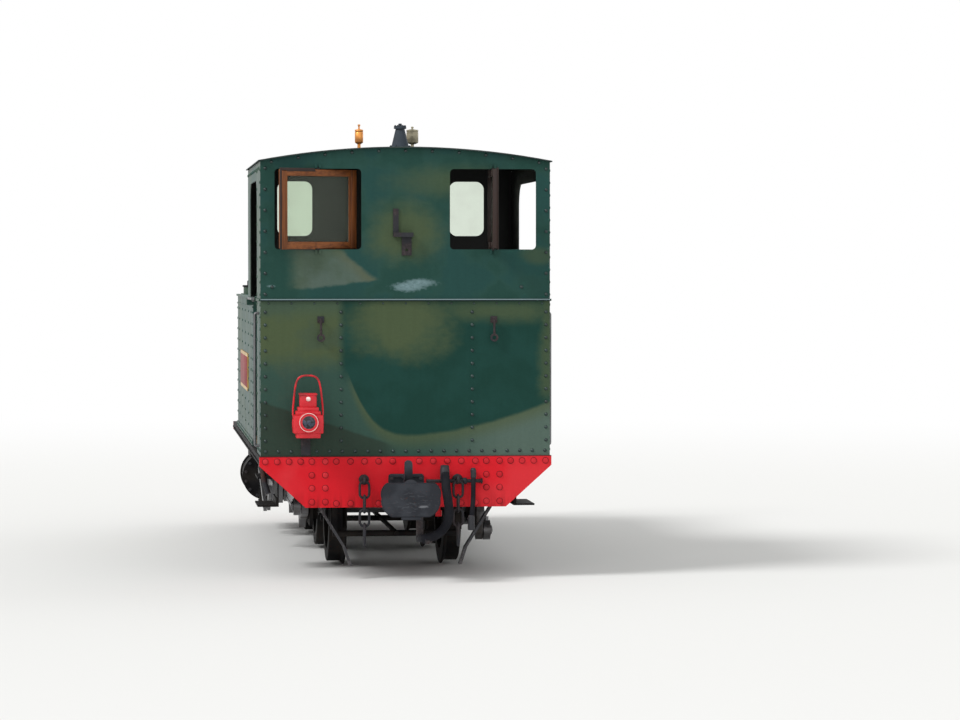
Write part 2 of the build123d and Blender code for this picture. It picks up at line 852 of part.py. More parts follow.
side_x = (rear_x[1] + seat_gap, cab_front_x)
side_y = (half_cab - sheet_thickness, half_cab)
side_top = roof_arc(sheet_top_radius, half_cab)[2][1]
cut_y = (side_y[0] - 20, side_y[1] + 20)
bar_z_centre = waist_z - doorway_bar_drop
bar_pin_x = doorway_x[0] - 28
bar_y_centre = max(half_cab, tank_half_width) + doorway_bar_offset
bar_pin_radius = 7
bar_eye_y = (bar_y_centre - doorway_bar_radius, bar_y_centre + doorway_bar_radius)
cab_side = block(side_x, side_y, (plate_top_z + seat_gap, side_top))
cab_side -= block((doorway_x[0], cab_front_x + 1), cut_y, (plate_top_z - 1, waist_z + seat_gap))
cab_side -= rounded("y", cut_y, (doorway_x[0], opening_front_x), (waist_z - 400, doorway_top_z), doorway_corner)
cab_side += block(
    (side_x[0], doorway_x[0]), (half_cab - 1, half_cab + moulding_depth), (waist_z - moulding_height, waist_z)
)
cab_side += bar_y(bar_pin_x, (half_cab - 1, bar_eye_y[1] + 1), bar_z_centre, bar_pin_radius)
cab_side += bar_y(bar_pin_x, (half_cab - 1, bar_eye_y[0] - 0.5), bar_z_centre, bar_pin_radius + 5)
cab_side += bar_y(bar_pin_x, (bar_eye_y[1] + 0.5, bar_eye_y[1] + 4), bar_z_centre, bar_pin_radius + 4)
save("cab_left_side", cab_side)
save("cab_right_side", other_side(cab_side))

front_x = (cab_front_x - sheet_thickness, cab_front_x)
front_half = side_y[0] - seat_gap
front_sheet = end_sheet(front_x, front_half, plate_top_z + seat_gap)
front_sheet -= bar_x((front_x[0] - 5, front_x[1] + 5), 0, boiler_z, backhead_radius + seat_gap)
firebox_clear = firebox_half_width + seat_gap
front_sheet -= block(
    (front_x[0] - 5, front_x[1] + 5), (-firebox_clear, firebox_clear), (plate_top_z - 5, boiler_z)
)
for side in (1, -1):
    beside_tank = sorted((side * (tank_inner_y - seat_gap), side * (half_cab + 1)))
    front_sheet -= block((front_x[0] - 5, front_x[1] + 5), beside_tank, (plate_top_z - 1, waist_z + seat_gap))
    across = sorted((side * front_window_y[0], side * front_window_y[1]))
    front_sheet -= rounded("x", (front_x[0] - 5, front_x[1] + 5), across, front_window_z, front_window_corner)
save("cab_front_sheet", front_sheet)

# Roof: a thin curved sheet
roof_half = half_cab + roof_overhang_side
roof_x = (cab_rear_x - moulding_depth - roof_overhang_end, cab_front_x + roof_overhang_end)
left_top, crown_top, right_top = roof_arc(roof_radius, roof_half)
left_under, crown_under, right_under = roof_arc(roof_radius - sheet_thickness, roof_half)
save("cab_roof", plate(
    "x", roof_x, left_under, (crown_under, right_under), right_top, (crown_top, left_top)
))

# Floor boards over the rear wheels, on bearers
floor_front = cab_front_x - sheet_thickness - seat_gap
floor_rear = doorway_x[0] + seat_gap
floor_half = side_y[0] - seat_gap
cab_floor = block((floor_rear, floor_front), (-floor_half, floor_half), floor_z)
cab_floor -= block(
    (backhead_x - 3, floor_front + 1), (-firebox_half_width - 3, firebox_half_width + 3),
    (floor_z[0] - 1, floor_z[1] + 1),
)
for side in (1, -1):
    beside_tank = sorted((side * (tank_inner_y - seat_gap), side * (half_cab + 1)))
    cab_floor -= block((tank_rear_x - seat_gap, floor_front + 1), beside_tank, (floor_z[0] - 1, floor_z[1] + 1))
    bearer = block(
        (floor_rear, tank_rear_x - seat_gap), (frame_inner_y, frame_inner_y + 60),
        (plate_top_z + seat_gap, floor_z[0] + 1),
    )
    cab_floor += on_side(side, bearer)
save("cab_floor", cab_floor)

# Coal bunker inside the back of the cab: front wall with a shovel hole, and a sloping floor
bunker_front = (doorway_x[0] - sheet_thickness, doorway_x[0])
bunker = block(bunker_front, (-floor_half, floor_half), (plate_top_z + seat_gap, waist_z))
shovel_low = floor_z[1] + 40
bunker -= block(
    (bunker_front[0] - 5, bunker_front[1] + 5),
    (-shovel_hole[0] / 2, shovel_hole[0] / 2), (shovel_low, shovel_low + shovel_hole[1]),
)
back = rear_x[1] + seat_gap
bunker += plate(
    "y", (-floor_half, floor_half),
    (back, bunker_sill_z), (back, bunker_sill_z + 10),
    (bunker_front[0] + 1, shovel_low), (bunker_front[0] + 1, shovel_low - 10),
)
save("coal_bunker", bunker)

# Bars across the doorways at the waist, hinged at the rear post to swing up
bar_front_x = tank_rear_x + doorway_bar_overlap
doorway_bar = bar_x((bar_pin_x, bar_front_x), bar_y_centre, bar_z_centre, doorway_bar_radius)
doorway_bar += bar_y(bar_pin_x, bar_eye_y, bar_z_centre, 17)
doorway_bar -= bar_y(
    bar_pin_x, (bar_eye_y[0] - 1, bar_eye_y[1] + 1), bar_z_centre, bar_pin_radius + running_fit
)
save("left_doorway_bar", doorway_bar)
save("right_doorway_bar", other_side(doorway_bar))


# Side tanks with their filler necks

def side_tank():
    """The left tank, with rounded outer front corner, moulding, filler neck and lid lugs."""
    inner, outer = tank_inner_y, tank_half_width
    rear = tank_rear_x
    k = tank_corner * (1 - math.sqrt(0.5))
    body = plate(
        "z", (plate_top_z + seat_gap, waist_z),
        (rear, inner), (tank_front_x, inner), (tank_front_x, outer - tank_corner),
        ((tank_front_x - k, outer - k), (tank_front_x - tank_corner, outer)), (rear, outer),
    )
    trim_x = (rear, tank_front_x - tank_corner)
    trim = block(trim_x, (outer - 1, outer + moulding_depth), (waist_z - moulding_height, waist_z))
    band_z = waist_z - tank_band_drop
    trim += block(trim_x, (outer - 1, outer + tank_band_depth), (band_z - 12, band_z))
    trim += block(
        trim_x, (outer - 1, outer + tank_angle_depth),
        (plate_top_z + seat_gap, plate_top_z + tank_angle_height),
    )
    rest_x = (rear + 4, rear + 22)
    rest_top = bar_z_centre - doorway_bar_radius - seat_gap
    trim += block(rest_x, (outer - 1, bar_eye_y[1] + 5), (band_z + 10, rest_top))
    trim += block(rest_x, (bar_eye_y[1] + 1, bar_eye_y[1] + 5), (band_z + 10, bar_z_centre + 2))
    neck = bar_z(filler_x, filler_y, (waist_z - 1, waist_z + filler_height), filler_radius)
    body += trim + neck
    for end in (-1, 1):
        body += block(
            (filler_x + end * 26 - 11, filler_x + end * 26 + 11),
            (lid_hinge_y - 13, filler_y - filler_radius + 12), (waist_z - 1, lid_hinge_z + 13),
        )
    well_z = (waist_z - filler_depth, waist_z + filler_height + 1)
    body -= bar_z(filler_x, filler_y, well_z, filler_radius - filler_wall)
    body += bar_x((filler_x - 37, filler_x + 37), lid_hinge_y, lid_hinge_z, lid_pin_radius)
    return body


lid_top = lid_z + lid_thickness
lid = bar_z(filler_x, filler_y, (lid_z, lid_top), filler_radius + lid_overlap)
lid += Pos(filler_x, filler_y, lid_top - 1) * turned(
    "z", (0, 0), (lid_knob_radius, 0), (lid_knob_radius / 3, 18), (0, 18)
)
for end in (-1, 1):
    lid -= block(
        (filler_x + end * 26 - 14, filler_x + end * 26 + 14), (0, filler_y - filler_radius + 16),
        (lid_z - 1, lid_z + 60),
    )
lid += block((filler_x - 12, filler_x + 12), (lid_hinge_y, filler_y - filler_radius + 20), (lid_z, lid_top))
lid += bar_x((filler_x - 12, filler_x + 12), lid_hinge_y, lid_hinge_z, 12)
lid -= bar_x((filler_x - 13, filler_x + 13), lid_hinge_y, lid_hinge_z, lid_pin_radius + running_fit)
handle_y = filler_y + lid_handle_offset
handle_z = lid_top + lid_handle_rise
lid += bar_x((filler_x - lid_handle_half, filler_x + lid_handle_half), handle_y, handle_z, lid_handle_radius)
for end in (-1, 1):
    leg_x = filler_x + end * (lid_handle_half - lid_handle_radius)
    lid += bar_z(leg_x, handle_y, (lid_top - 1, handle_z), lid_handle_radius)
left_tank = side_tank()
save("left_side_tank", left_tank)
save("right_side_tank", other_side(left_tank))
save("left_filler_lid", lid)
save("right_filler_lid", other_side(lid))

# Nameplate blanks on the tank sides
nameplate_low = (tank_rear_x + nameplate_from_tank_rear, plate_top_z + nameplate_above_plate)
nameplate = rounded(
    "y", (tank_half_width + seat_gap, tank_half_width + nameplate_depth),
    (nameplate_low[0], nameplate_low[0] + nameplate_length),
    (nameplate_low[1], nameplate_low[1] + nameplate_height), nameplate_corner,
)
save("nameplates", nameplate, other_side(nameplate))


# Boiler with firebox and cladding bands

boiler = bar_x((cab_front_x + seat_gap, smokebox_rear_x - seat_gap), 0, boiler_z, boiler_radius)
boiler += bar_x((backhead_x, cab_front_x + 1), 0, boiler_z, backhead_radius)
boiler += block(
    (backhead_x, backhead_x + firebox_length), (-firebox_half_width, firebox_half_width),
    (firebox_bottom_z, boiler_z),
)
band_count = 5
first_band_x = cab_front_x + 60
last_band_x = smokebox_rear_x - 90
for count in range(band_count):
    x = first_band_x + count * (last_band_x - first_band_x) / (band_count - 1)
    band = bar_x((x, x + boiler_band_width), 0, boiler_z, boiler_radius + boiler_band_depth)
    boiler += band
save("boiler", boiler)

# Fittings on the backhead: fire door, regulator, gauge glasses and valves
fire_door_half = 190
fire_door_drop = (420, 140)
regulator_rise = 250
regulator_handle_y = (-260, 40)
gauge_glass_y = (230, 262)
pressure_gauge_radius = 62
pressure_gauge_y = 110
pressure_gauge_rise = 360
fit_x = backhead_x - seat_gap
regulator_z = boiler_z + regulator_rise
fire_door_z = (boiler_z - fire_door_drop[0], boiler_z - fire_door_drop[1])
regulator = bar_x((fit_x - 60, fit_x), 0, regulator_z, 40)
regulator += block((fit_x - 76, fit_x - 58), regulator_handle_y, (regulator_z - 18, regulator_z + 18))
fittings = [
    rounded("x", (fit_x - 24, fit_x), (-fire_door_half, fire_door_half), fire_door_z, 60),
    regulator,
    block((fit_x - 50, fit_x), gauge_glass_y, (boiler_z - 40, boiler_z + 260)),
    block((fit_x - 50, fit_x), (-gauge_glass_y[1], -gauge_glass_y[0]), (boiler_z - 40, boiler_z + 200)),
    bar_x((fit_x - 40, fit_x), pressure_gauge_y, boiler_z + pressure_gauge_rise, pressure_gauge_radius),
    bar_x((fit_x - 90, fit_x), -330, boiler_z + 20, 26),
]

# Reversing lever in its quadrant, and the hand brake's column and wheel
lever_height = 1000
lever_lean = 210
lever_thickness = 24
lever_outer_y = 620
quadrant_height = 60
brake_column_radius = 30
brake_column_y = 640
brake_wheel_radius = 150
brake_wheel_rim = 22
brake_wheel_height = 880
brake_wheel_thickness = 20
on_floor = floor_z[1] + seat_gap
lever_foot_x = tank_rear_x - 150
lever_y = (-lever_outer_y, -lever_outer_y + lever_thickness)
lever = link_bar(
    "y", lever_y, (lever_foot_x, floor_z[1] + 40),
    (lever_foot_x - lever_lean, floor_z[1] + lever_height), (26, 14),
)
lever += block(
    (lever_foot_x - lever_lean - 40, lever_foot_x + 110), (lever_y[0] - 20, lever_y[1] + 20),
    (on_floor, floor_z[1] + quadrant_height),
)
fittings.append(lever)
column_x = tank_rear_x - 190
wheel_z = (floor_z[1] + brake_wheel_height, floor_z[1] + brake_wheel_height + brake_wheel_thickness)
brake_column = bar_z(column_x, brake_column_y, wheel_z, brake_wheel_radius)
brake_column -= bar_z(
    column_x, brake_column_y, (wheel_z[0] - 1, wheel_z[1] + 1), brake_wheel_radius - brake_wheel_rim
)
brake_column += bar_z(column_x, brake_column_y, (on_floor, wheel_z[1]), brake_column_radius)
brake_column += block(
    (column_x - brake_wheel_radius + 10, column_x + brake_wheel_radius - 10),
    (brake_column_y - 10, brake_column_y + 10), (wheel_z[0] + 2, wheel_z[1] - 2),
)
fittings.append(brake_column)
save("backhead_fittings", *fittings)


# Smokebox on its saddle
smokebox = bar_x((smokebox_rear_x, smokebox_front_x), 0, boiler_z, smokebox_radius)
saddle_x = (smokebox_rear_x + 90, smokebox_front_x - 90)
saddle_half = 380
smokebox += block(saddle_x, (-saddle_half, saddle_half), (plate_top_z + seat_gap, boiler_z - 300))
inner_radius = smokebox_radius - smokebox_wall
smokebox -= bar_x((smokebox_rear_x - 1, smokebox_front_x - smokebox_wall), 0, boiler_z, inner_radius)
smokebox -= bar_x((smokebox_front_x - 50, smokebox_front_x + 1), 0, boiler_z, smokebox_mouth_radius)
smokebox -= bar_z(chimney_x, 0, (boiler_z + 300, boiler_z + 600), chimney_bore)
smokebox += bar_x((smokebox_rear_x, smokebox_rear_x + smokebox_wall), 0, boiler_z, inner_radius + 2)
hinge_x = smokebox_front_x + 22
hinge_y = smokebox_door_radius + 22
hinge_pin_radius = 11
strap_spread = 175
strap_half = 24
strap_z = (boiler_z - strap_spread, boiler_z + strap_spread)
for z in strap_z:
    for low in (z - strap_half - 27, z + strap_half + 1.5):
        smokebox += bar_z(hinge_x, hinge_y, (low, low + 25.5), 17)
        smokebox += block((smokebox_front_x - 1, hinge_x), (hinge_y - 12, hinge_y + 17), (low, low + 25.5))
    smokebox += bar_z(hinge_x, hinge_y, (z - strap_half - 27, z + strap_half + 27), hinge_pin_radius)
save("smokebox", smokebox)


# Smokebox door: a dished disc with two straps and a dart handle

def dished(radius, offset, thickness):
    """A dished disc about X. Its rim's back is at x = offset and it bulges forward."""
    sphere = (radius**2 + door_dish**2) / (2 * door_dish)
    mid = radius * 0.5

    def height(r):
        return math.sqrt(sphere**2 - r**2) - (sphere - door_dish)

    outside = offset + thickness
    return turned(
        "x",
        (0, offset + height(0)), ((mid, offset + height(mid)), (radius, offset)),
        (radius, outside), ((mid, outside + height(mid)), (0, outside + height(0))),
    )


door_back = smokebox_front_x + seat_gap
door = Pos(0, 0, boiler_z) * dished(smokebox_door_radius, door_back, 12)
strap_shell = Pos(0, 0, boiler_z) * dished(smokebox_door_radius, door_back + 11.5, 11)
for z in strap_z:
    strap = (z - strap_half, z + strap_half)
    door += strap_shell & block((door_back, door_back + 200), (30, smokebox_door_radius), strap)
    rim_y = math.sqrt(smokebox_door_radius**2 - strap_spread**2)
    door += block((hinge_x - 8, hinge_x + 8), (rim_y - 40, hinge_y), strap)
    door += bar_z(hinge_x, hinge_y, strap, 17)
    door -= bar_z(hinge_x, hinge_y, (z - strap_half - 1, z + strap_half + 1), hinge_pin_radius + running_fit)
dart_x = door_back + door_dish
door += bar_x((dart_x, dart_x + 92), 0, boiler_z, 20)
door += bar_x((dart_x + 8, dart_x + 24), 0, boiler_z, 46)
door += link_bar("x", (dart_x + 46, dart_x + 60), (0, boiler_z), (150, boiler_z - 130), (13, 8))
door += link_bar("x", (dart_x + 74, dart_x + 88), (0, boiler_z), (-30, boiler_z - 190), (13, 8))
save("smokebox_door", door)

# Chimney on the smokebox
base_z = boiler_z + smokebox_radius
chimney = turned(
    "z",
    (chimney_bore, base_z - 160), (chimney_radius + 92, base_z - 160), (chimney_radius + 92, base_z - 40),
    ((chimney_radius + 18, base_z + 40), (chimney_radius, base_z + 150)),
    (chimney_radius + 16, chimney_top_z - 120), (chimney_radius + 42, chimney_top_z - 80),
    ((chimney_radius + 56, chimney_top_z - 50), (chimney_radius + 40, chimney_top_z - 18)),
    (chimney_radius + 18, chimney_top_z), (chimney_bore, chimney_top_z),
)
chimney -= bar_x((-smokebox_length, smokebox_length), 0, boiler_z, smokebox_radius + seat_gap)
save("chimney", Pos(chimney_x, 0, 0) * chimney)

# Steam dome on the boiler barrel
crown = boiler_z + boiler_radius
dome = turned(
    "z",
    (0, crown - 160), (dome_radius + 80, crown - 160), (dome_radius + 80, crown - 85),
    ((dome_radius + 18, crown + 10), (dome_radius, crown + 110)),
    *crown_arcs(dome_radius, dome_top_z, dome_shoulder, dome_crown),
)
dome_seat_radius = boiler_radius + boiler_band_depth + seat_gap
dome -= bar_x((-2 * dome_radius, 2 * dome_radius), 0, boiler_z, dome_seat_radius)
save("steam_dome", Pos(dome_x, 0, 0) * dome)

# Two safety valves over the firebox
valves = []
for end in (-1, 1):
    valve = turned(
        "z",
        (0, crown - 30), (74, crown - 30), (74, crown + 22), (52, crown + 34), (46, crown + 170),
        (62, crown + 186), (62, crown + 214), (34, crown + 226), (26, crown + 296), (0, crown + 300),
    )
    valve = Pos(safety_valve_x, end * safety_valve_spread / 2, 0) * valve
    barrel_x = (safety_valve_x - safety_valve_spread, safety_valve_x + safety_valve_spread)
    valves.append(valve - bar_x(barrel_x, 0, boiler_z, boiler_radius + seat_gap))
save("safety_valves", *valves)

# Whistles on thin stems on the cab roof: y, bell radius and top of each
whistle_x = cab_front_x - 500
whistle_y = 199
whistle_bell_above_rail = (3069, 3166)
whistles = []
for y, bell, top_above_rail in ((whistle_y, 31, 3205), (-whistle_y, 45, 3190)):
    roof_z = roof_centre_z + math.sqrt(roof_radius**2 - (abs(y) - 30)**2) + seat_gap
    low, high = (rail_z + height for height in whistle_bell_above_rail)
    top = rail_z + top_above_rail
    whistle = turned(
        "z",
        (0, roof_z), (28, roof_z), (28, roof_z + 10), (10, roof_z + 12), (10, low - 12), (bell * 0.7, low - 8),
        (bell, low), *crown_arcs(bell, high, bell * 0.4, bell * 1.1)[:2], (7, high - bell * 0.1),
        (7, top - 14), (13, top - 12), (13, top - 4), (8, top), (0, top),
    )
    whistles.append(Pos(whistle_x, y, 0) * whistle)
save("whistles", *whistles)

# Tapered roof vent with a bolted cap, near the back of the roof
vent_from_rear = 500
vent_x = -beam_x + vent_from_rear
vent_low = roof_crown_z + seat_gap
save("roof_vent", Pos(vent_x, 0, 0) * turned(
    "z",
    (0, vent_low), (74, vent_low), (74, vent_low + 14), (62, vent_low + 16), (32, vent_low + 140),
    (44, vent_low + 142), (44, vent_low + 156), (14, vent_low + 160), (12, vent_low + 178), (0, vent_low + 180),
))


# Cylinders with valve chests, cut flat where they meet the frames

def cylinder():
    """The left cylinder."""
    y = cylinder_centre_y
    rear, front = cylinder_rear_x, cylinder_front_x
    thick = cylinder_flange_thickness
    body = bar_x((rear + thick - 1, front - thick + 1), y, axle_z, cylinder_radius)
    body += bar_x((rear, rear + thick), y, axle_z, cylinder_flange_radius)
    body += bar_x((front - thick, front), y, axle_z, cylinder_flange_radius)
    body += Pos(0, y, axle_z) * turned(
        "x", (0, front - 1), (150, front - 1), *crown_arcs(150, front + 40, 24, 420)
    )
    body += bar_x((rear - gland_length, rear + 1), y, axle_z, gland_radius)
    body += block((rear + 40, front - 40), valve_chest_y, valve_chest_z)
    body += block((rear + 60, front - 60), (frame_outer_y, y), (axle_z - 120, valve_chest_z[0] + 20))
    body -= block((rear - 100, front + 100), (0, frame_outer_y + seat_gap), (0, plate_top_z))
    body -= bar_x((rear - gland_length - 1, rear + 60), y, axle_z, piston_rod_radius + seat_gap)
    return body


left_cylinder = cylinder()
save("cylinders", left_cylinder, other_side(left_cylinder))

# Slide bars above and below the crosshead
bar_x_range = (motion_bracket_x[1] + seat_gap, cylinder_rear_x - seat_gap)
bar_y_range = (cylinder_centre_y - slide_bar_width / 2, cylinder_centre_y + slide_bar_width / 2)
slide_bars = []
for low in (axle_z + slide_bar_gap / 2, axle_z - slide_bar_gap / 2 - slide_bar_height):
    one = block(bar_x_range, bar_y_range, (low, low + slide_bar_height))
    slide_bars += [one, other_side(one)]
save("slide_bars", *slide_bars)

# Motion brackets: a plate off each frame that carries the slide bars and the link
bracket_inner_y = cylinder_centre_y - 42
bracket_outer_y = 914
rod_clear_z = axle_z + crank_throw + coupling_rod_height / 2 + 20
bracket = block(
    motion_bracket_x, (frame_outer_y + seat_gap, bracket_outer_y), (rod_clear_z, plate_bottom_z - seat_gap)
)
bracket += block(
    motion_bracket_x, (bracket_inner_y, 862),
    (axle_z - slide_bar_gap / 2 - slide_bar_height - 24, rod_clear_z + 1),
)
bracket -= block(
    (motion_bracket_x[0] - 5, motion_bracket_x[1] + 5), (bracket_inner_y + 13, 818),
    (axle_z - slide_bar_gap / 2, axle_z + slide_bar_gap / 2),
)
bracket -= block(
    (motion_bracket_x[0] - 5, motion_bracket_x[1] + 5), (846, 888), (760, 826)
)
link_pivot_x = 1010
link_pivot_z = 772
for y in (820, 900):
    cheek_z = (link_pivot_z - 30, link_pivot_z + 40)
    bracket += block((link_pivot_x - 36, motion_bracket_x[0] + 1), (y, y + 12), cheek_z)
    bracket -= bar_y(link_pivot_x, (y - 5, y + 17), link_pivot_z, 20 + seat_gap)
save("motion_brackets", bracket, other_side(bracket))


# Crossheads, connecting rods and valve gear, drawn at the rest position

def wrist_x(side):
    """Where the crosshead pin stands with the crank at rest."""
    px, pz = cranks[side]
    return middle_axle_x + px + math.sqrt(connecting_rod_length**2 - pz**2)


crossheads = []
connecting_rods = []
return_cranks = []
eccentric_rods = []
expansion_links = []
radius_rods = []
combination_levers = []
for side in (1, -1):
    px, pz = cranks[side]
    pin_x = middle_axle_x + px
    pin_z = axle_z + pz
    wrist = wrist_x(side)
    y = cylinder_centre_y
    half = crosshead_length / 2
    fork = small_end_width / 2 + 1.5
    rise = slide_bar_gap / 2 - seat_gap
    head = block((wrist - half, wrist + half), bar_y_range, (axle_z - rise, axle_z + rise))
    head -= block((wrist - half - 1, wrist + 62), (y - fork, y + fork), (axle_z - 82, axle_z + 82))
    head += bar_y(wrist, bar_y_range, axle_z, gudgeon_radius)
    head += bar_x((wrist + half - 20, cylinder_rear_x + 40), y, axle_z, piston_rod_radius)
    arm_z = axle_z - 190
    arm_y = (bar_y_range[1] + 1, bar_y_range[1] + 17)
    head += block((wrist + 20, wrist + 60), arm_y, (arm_z - 20, axle_z + 40))
    head += block((wrist + 20, wrist + 60), (bar_y_range[1] - 1, arm_y[0] + 1), (axle_z - 60, axle_z + 40))
    crossheads.append(on_side(side, head))

    small = (y - small_end_width / 2, y + small_end_width / 2)
    rod = link_bar("y", small, (pin_x, pin_z), (wrist, axle_z), (52, 38))
    rod += bar_y(wrist, small, axle_z, 58)
    wide = (big_end_inner_y, big_end_outer_y)
    rod += rounded("y", wide, (pin_x - 84, pin_x + 96), (pin_z - 80, pin_z + 80), 22)
    rod -= bar_y(wrist, (small[0] - 1, small[1] + 1), axle_z, gudgeon_radius + seat_gap)
    rod -= bar_y(pin_x, (wide[0] - 1, wide[1] + 1), pin_z, 44 + seat_gap)
    rod += bar_z(pin_x, y, (pin_z + 79, pin_z + 104), 19)
    connecting_rods.append(on_side(side, rod))

    # The return crank's pin stands a quarter turn away from the main pin.
    eccentric_x = middle_axle_x - return_crank_radius * pz / crank_throw
    eccentric_z = axle_z + return_crank_radius * px / crank_throw
    arm = (big_end_outer_y + 4, big_end_outer_y + 4 + return_crank_thickness)
    rod_y = (arm[1] + 4, arm[1] + 4 + eccentric_rod_thickness)
    ret = link_bar("y", arm, (pin_x, pin_z), (eccentric_x, eccentric_z), (46, 36))
    ret += bar_y(pin_x, arm, pin_z, 52) + bar_y(eccentric_x, arm, eccentric_z, 40)
    ret += bar_y(pin_x, (big_end_inner_y - 1.5, arm[0] + 1), pin_z, 44)
    ret += bar_y(eccentric_x, (arm[1] - 1, rod_y[1] + 4), eccentric_z, 24)
    return_cranks.append(on_side(side, ret))

    foot_z = link_pivot_z - 215
    foot_x = link_pivot_x - 26
    rod = link_bar("y", rod_y, (eccentric_x, eccentric_z), (foot_x, foot_z), (26, 20))
    rod += bar_y(eccentric_x, rod_y, eccentric_z, 46) + bar_y(foot_x, rod_y, foot_z, 32)
    rod -= bar_y(eccentric_x, (rod_y[0] - 1, rod_y[1] + 1), eccentric_z, 24 + seat_gap)
    rod -= bar_y(foot_x, (rod_y[0] - 1, rod_y[1] + 1), foot_z, 14 + seat_gap)
    eccentric_rods.append(on_side(side, rod))

    link_y = (rod_y[0], rod_y[1])
    link = plate(
        "y", (link_y[0] - 8, link_y[0] - 2),
        (link_pivot_x - 34, link_pivot_z - 150),
        ((link_pivot_x - 48, link_pivot_z - 40), (link_pivot_x - 34, link_pivot_z + 62)),
        (link_pivot_x + 34, link_pivot_z + 62),
        ((link_pivot_x + 20, link_pivot_z - 40), (link_pivot_x + 34, link_pivot_z - 150)),
        (foot_x + 22, foot_z - 20), (foot_x - 22, foot_z - 20),
    )
    link += bar_y(link_pivot_x, (816, link_y[0] - 7), link_pivot_z, 20)
    link += bar_y(foot_x, (link_y[0] - 7, link_y[1] + 3), foot_z, 14)
    expansion_links.append(on_side(side, link))

    lever_y = (bar_y_range[1] + 22, bar_y_range[1] + 38)
    lever_x = 1786
    radius_y = (link_y[0] - 1, link_y[0] + 15)
    radius = link_bar("y", radius_y, (link_pivot_x, link_pivot_z + 18), (lever_x, link_pivot_z + 18), (20, 16))
    radius += bar_y(lever_x, (lever_y[0], radius_y[1]), link_pivot_z + 18, 13)
    radius += bar_y(lever_x, radius_y, link_pivot_z + 18, 26)
    radius_rods.append(on_side(side, radius))

    swing = (wrist - (middle_axle_x + connecting_rod_length)) * 0.55
    foot = (lever_x + swing - 60, arm_z + 4)
    comb = link_bar("y", lever_y, (lever_x, link_pivot_z + 18), foot, (24, 17))
    comb += bar_y(lever_x, lever_y, link_pivot_z + 18, 30) + bar_y(foot[0], lever_y, foot[1], 24)
    comb -= bar_y(lever_x, (lever_y[0] - 1, lever_y[1] + 1), link_pivot_z + 18, 13 + seat_gap)
    union = link_bar("y", (lever_y[1] - 1, lever_y[1] + 13), foot, (wrist + 40, arm_z + 4), (15, 15))
    union += bar_y(wrist + 40, (bar_y_range[1] + 17 + seat_gap, lever_y[1] + 13), arm_z + 4, 12)
    spindle = bar_x((lever_x, cylinder_rear_x + 40 - seat_gap), lever_y[0] - 20, 690, 14)
    spindle_eye = bar_y(lever_x, (lever_y[0] - 36, lever_y[0] + 1), 690, 26)
    combination_levers.append(on_side(side, comb + union + spindle + spindle_eye))

save("crossheads", *crossheads)
save("connecting_rods", *connecting_rods)
save("return_cranks", *return_cranks)
save("eccentric_rods", *eccentric_rods)
save("expansion_links", *expansion_links)
save("radius_rods", *radius_rods)
save("combination_levers", *combination_levers)


# Handrails behind the doorways and along the smokebox

def upright_rail(x, low, high):
    """A vertical handrail on the left side, with both ends bent in to the side."""
    y = half_cab + handrail_offset
    return tube(
        [
            (x, half_cab + seat_gap, low), (x, y, low), (x, y, high), (x, half_cab + seat_gap, high),
        ],
        handrail_radius,
    )


rail_low, rail_high = (rail_z + height for height in handrail_above_rail)
rail = upright_rail(-beam_x + handrail_from_rear, rail_low, rail_high)
rails = [rail, other_side(rail)]
long_rail_rise = 260
long_rail_offset = 52
long_rail_z = boiler_z + long_rail_rise
rail_seat_y = math.sqrt(smokebox_radius**2 - long_rail_rise**2)
long_rail_y = rail_seat_y + long_rail_offset
long_rail = bar_x((tank_front_x + 40, smokebox_front_x - 40), long_rail_y, long_rail_z, 13)
for x in (tank_front_x + 70, smokebox_front_x - 70):
    long_rail += bar_y(x, (rail_seat_y - 6, long_rail_y), long_rail_z, 11)
long_rail -= bar_x((smokebox_rear_x, smokebox_front_x), 0, boiler_z, smokebox_radius + seat_gap)
rails += [long_rail, other_side(long_rail)]
save("handrails", *rails)

# Tail lamp: body with a stepped top, chimney, lens ring and wire handle
lamp_y = 686
lamp_width = 208
lamp_depth = 190
lamp_height = 208
lamp_corner = 22
lamp_standoff = 30
lamp_above_rail = 970
lamp_chimney_radius = 62
lamp_cap_radius = 74
lamp_top_radius = 40
lens_above_rail = 1079
lens_radius = 66
lens_reach = 34
lamp_wire_radius = 5
lamp_wire_half = 60
lamp_wire_height = 430
lamp_bottom = rail_z + lamp_above_rail
lamp_x = (cab_rear_x - lamp_standoff - lamp_depth, cab_rear_x - lamp_standoff)
lamp_mid = sum(lamp_x) / 2
lens_z = rail_z + lens_above_rail
lamp_across = (lamp_y - lamp_width / 2, lamp_y + lamp_width / 2)
lamp_shoulder = lamp_bottom + lamp_height
lamp = rounded("z", (lamp_bottom, lamp_shoulder), lamp_x, lamp_across, lamp_corner)
lamp += bar_z(lamp_mid, lamp_y, (lamp_shoulder - 2, lamp_shoulder + 54), lamp_chimney_radius)
lamp += bar_z(lamp_mid, lamp_y, (lamp_shoulder + 52, lamp_shoulder + 68), lamp_cap_radius)
lamp += bar_z(lamp_mid, lamp_y, (lamp_shoulder + 66, lamp_shoulder + 92), lamp_top_radius)
lamp += bar_x((lamp_x[0] - lens_reach, lamp_x[0] + 1), lamp_y, lens_z, lens_radius)
lamp -= bar_x((lamp_x[0] - lens_reach - 1, lamp_x[0] - 12), lamp_y, lens_z, lens_radius - 12)
wire_top = lamp_bottom + lamp_wire_height
for end in (-1, 1):
    lamp += bar_z(lamp_mid, lamp_y + end * lamp_wire_half, (lamp_shoulder + 32, wire_top), lamp_wire_radius)
lamp += bar_y(lamp_mid, (lamp_y - lamp_wire_half, lamp_y + lamp_wire_half), wire_top, lamp_wire_radius)
save("tail_lamp", lamp)

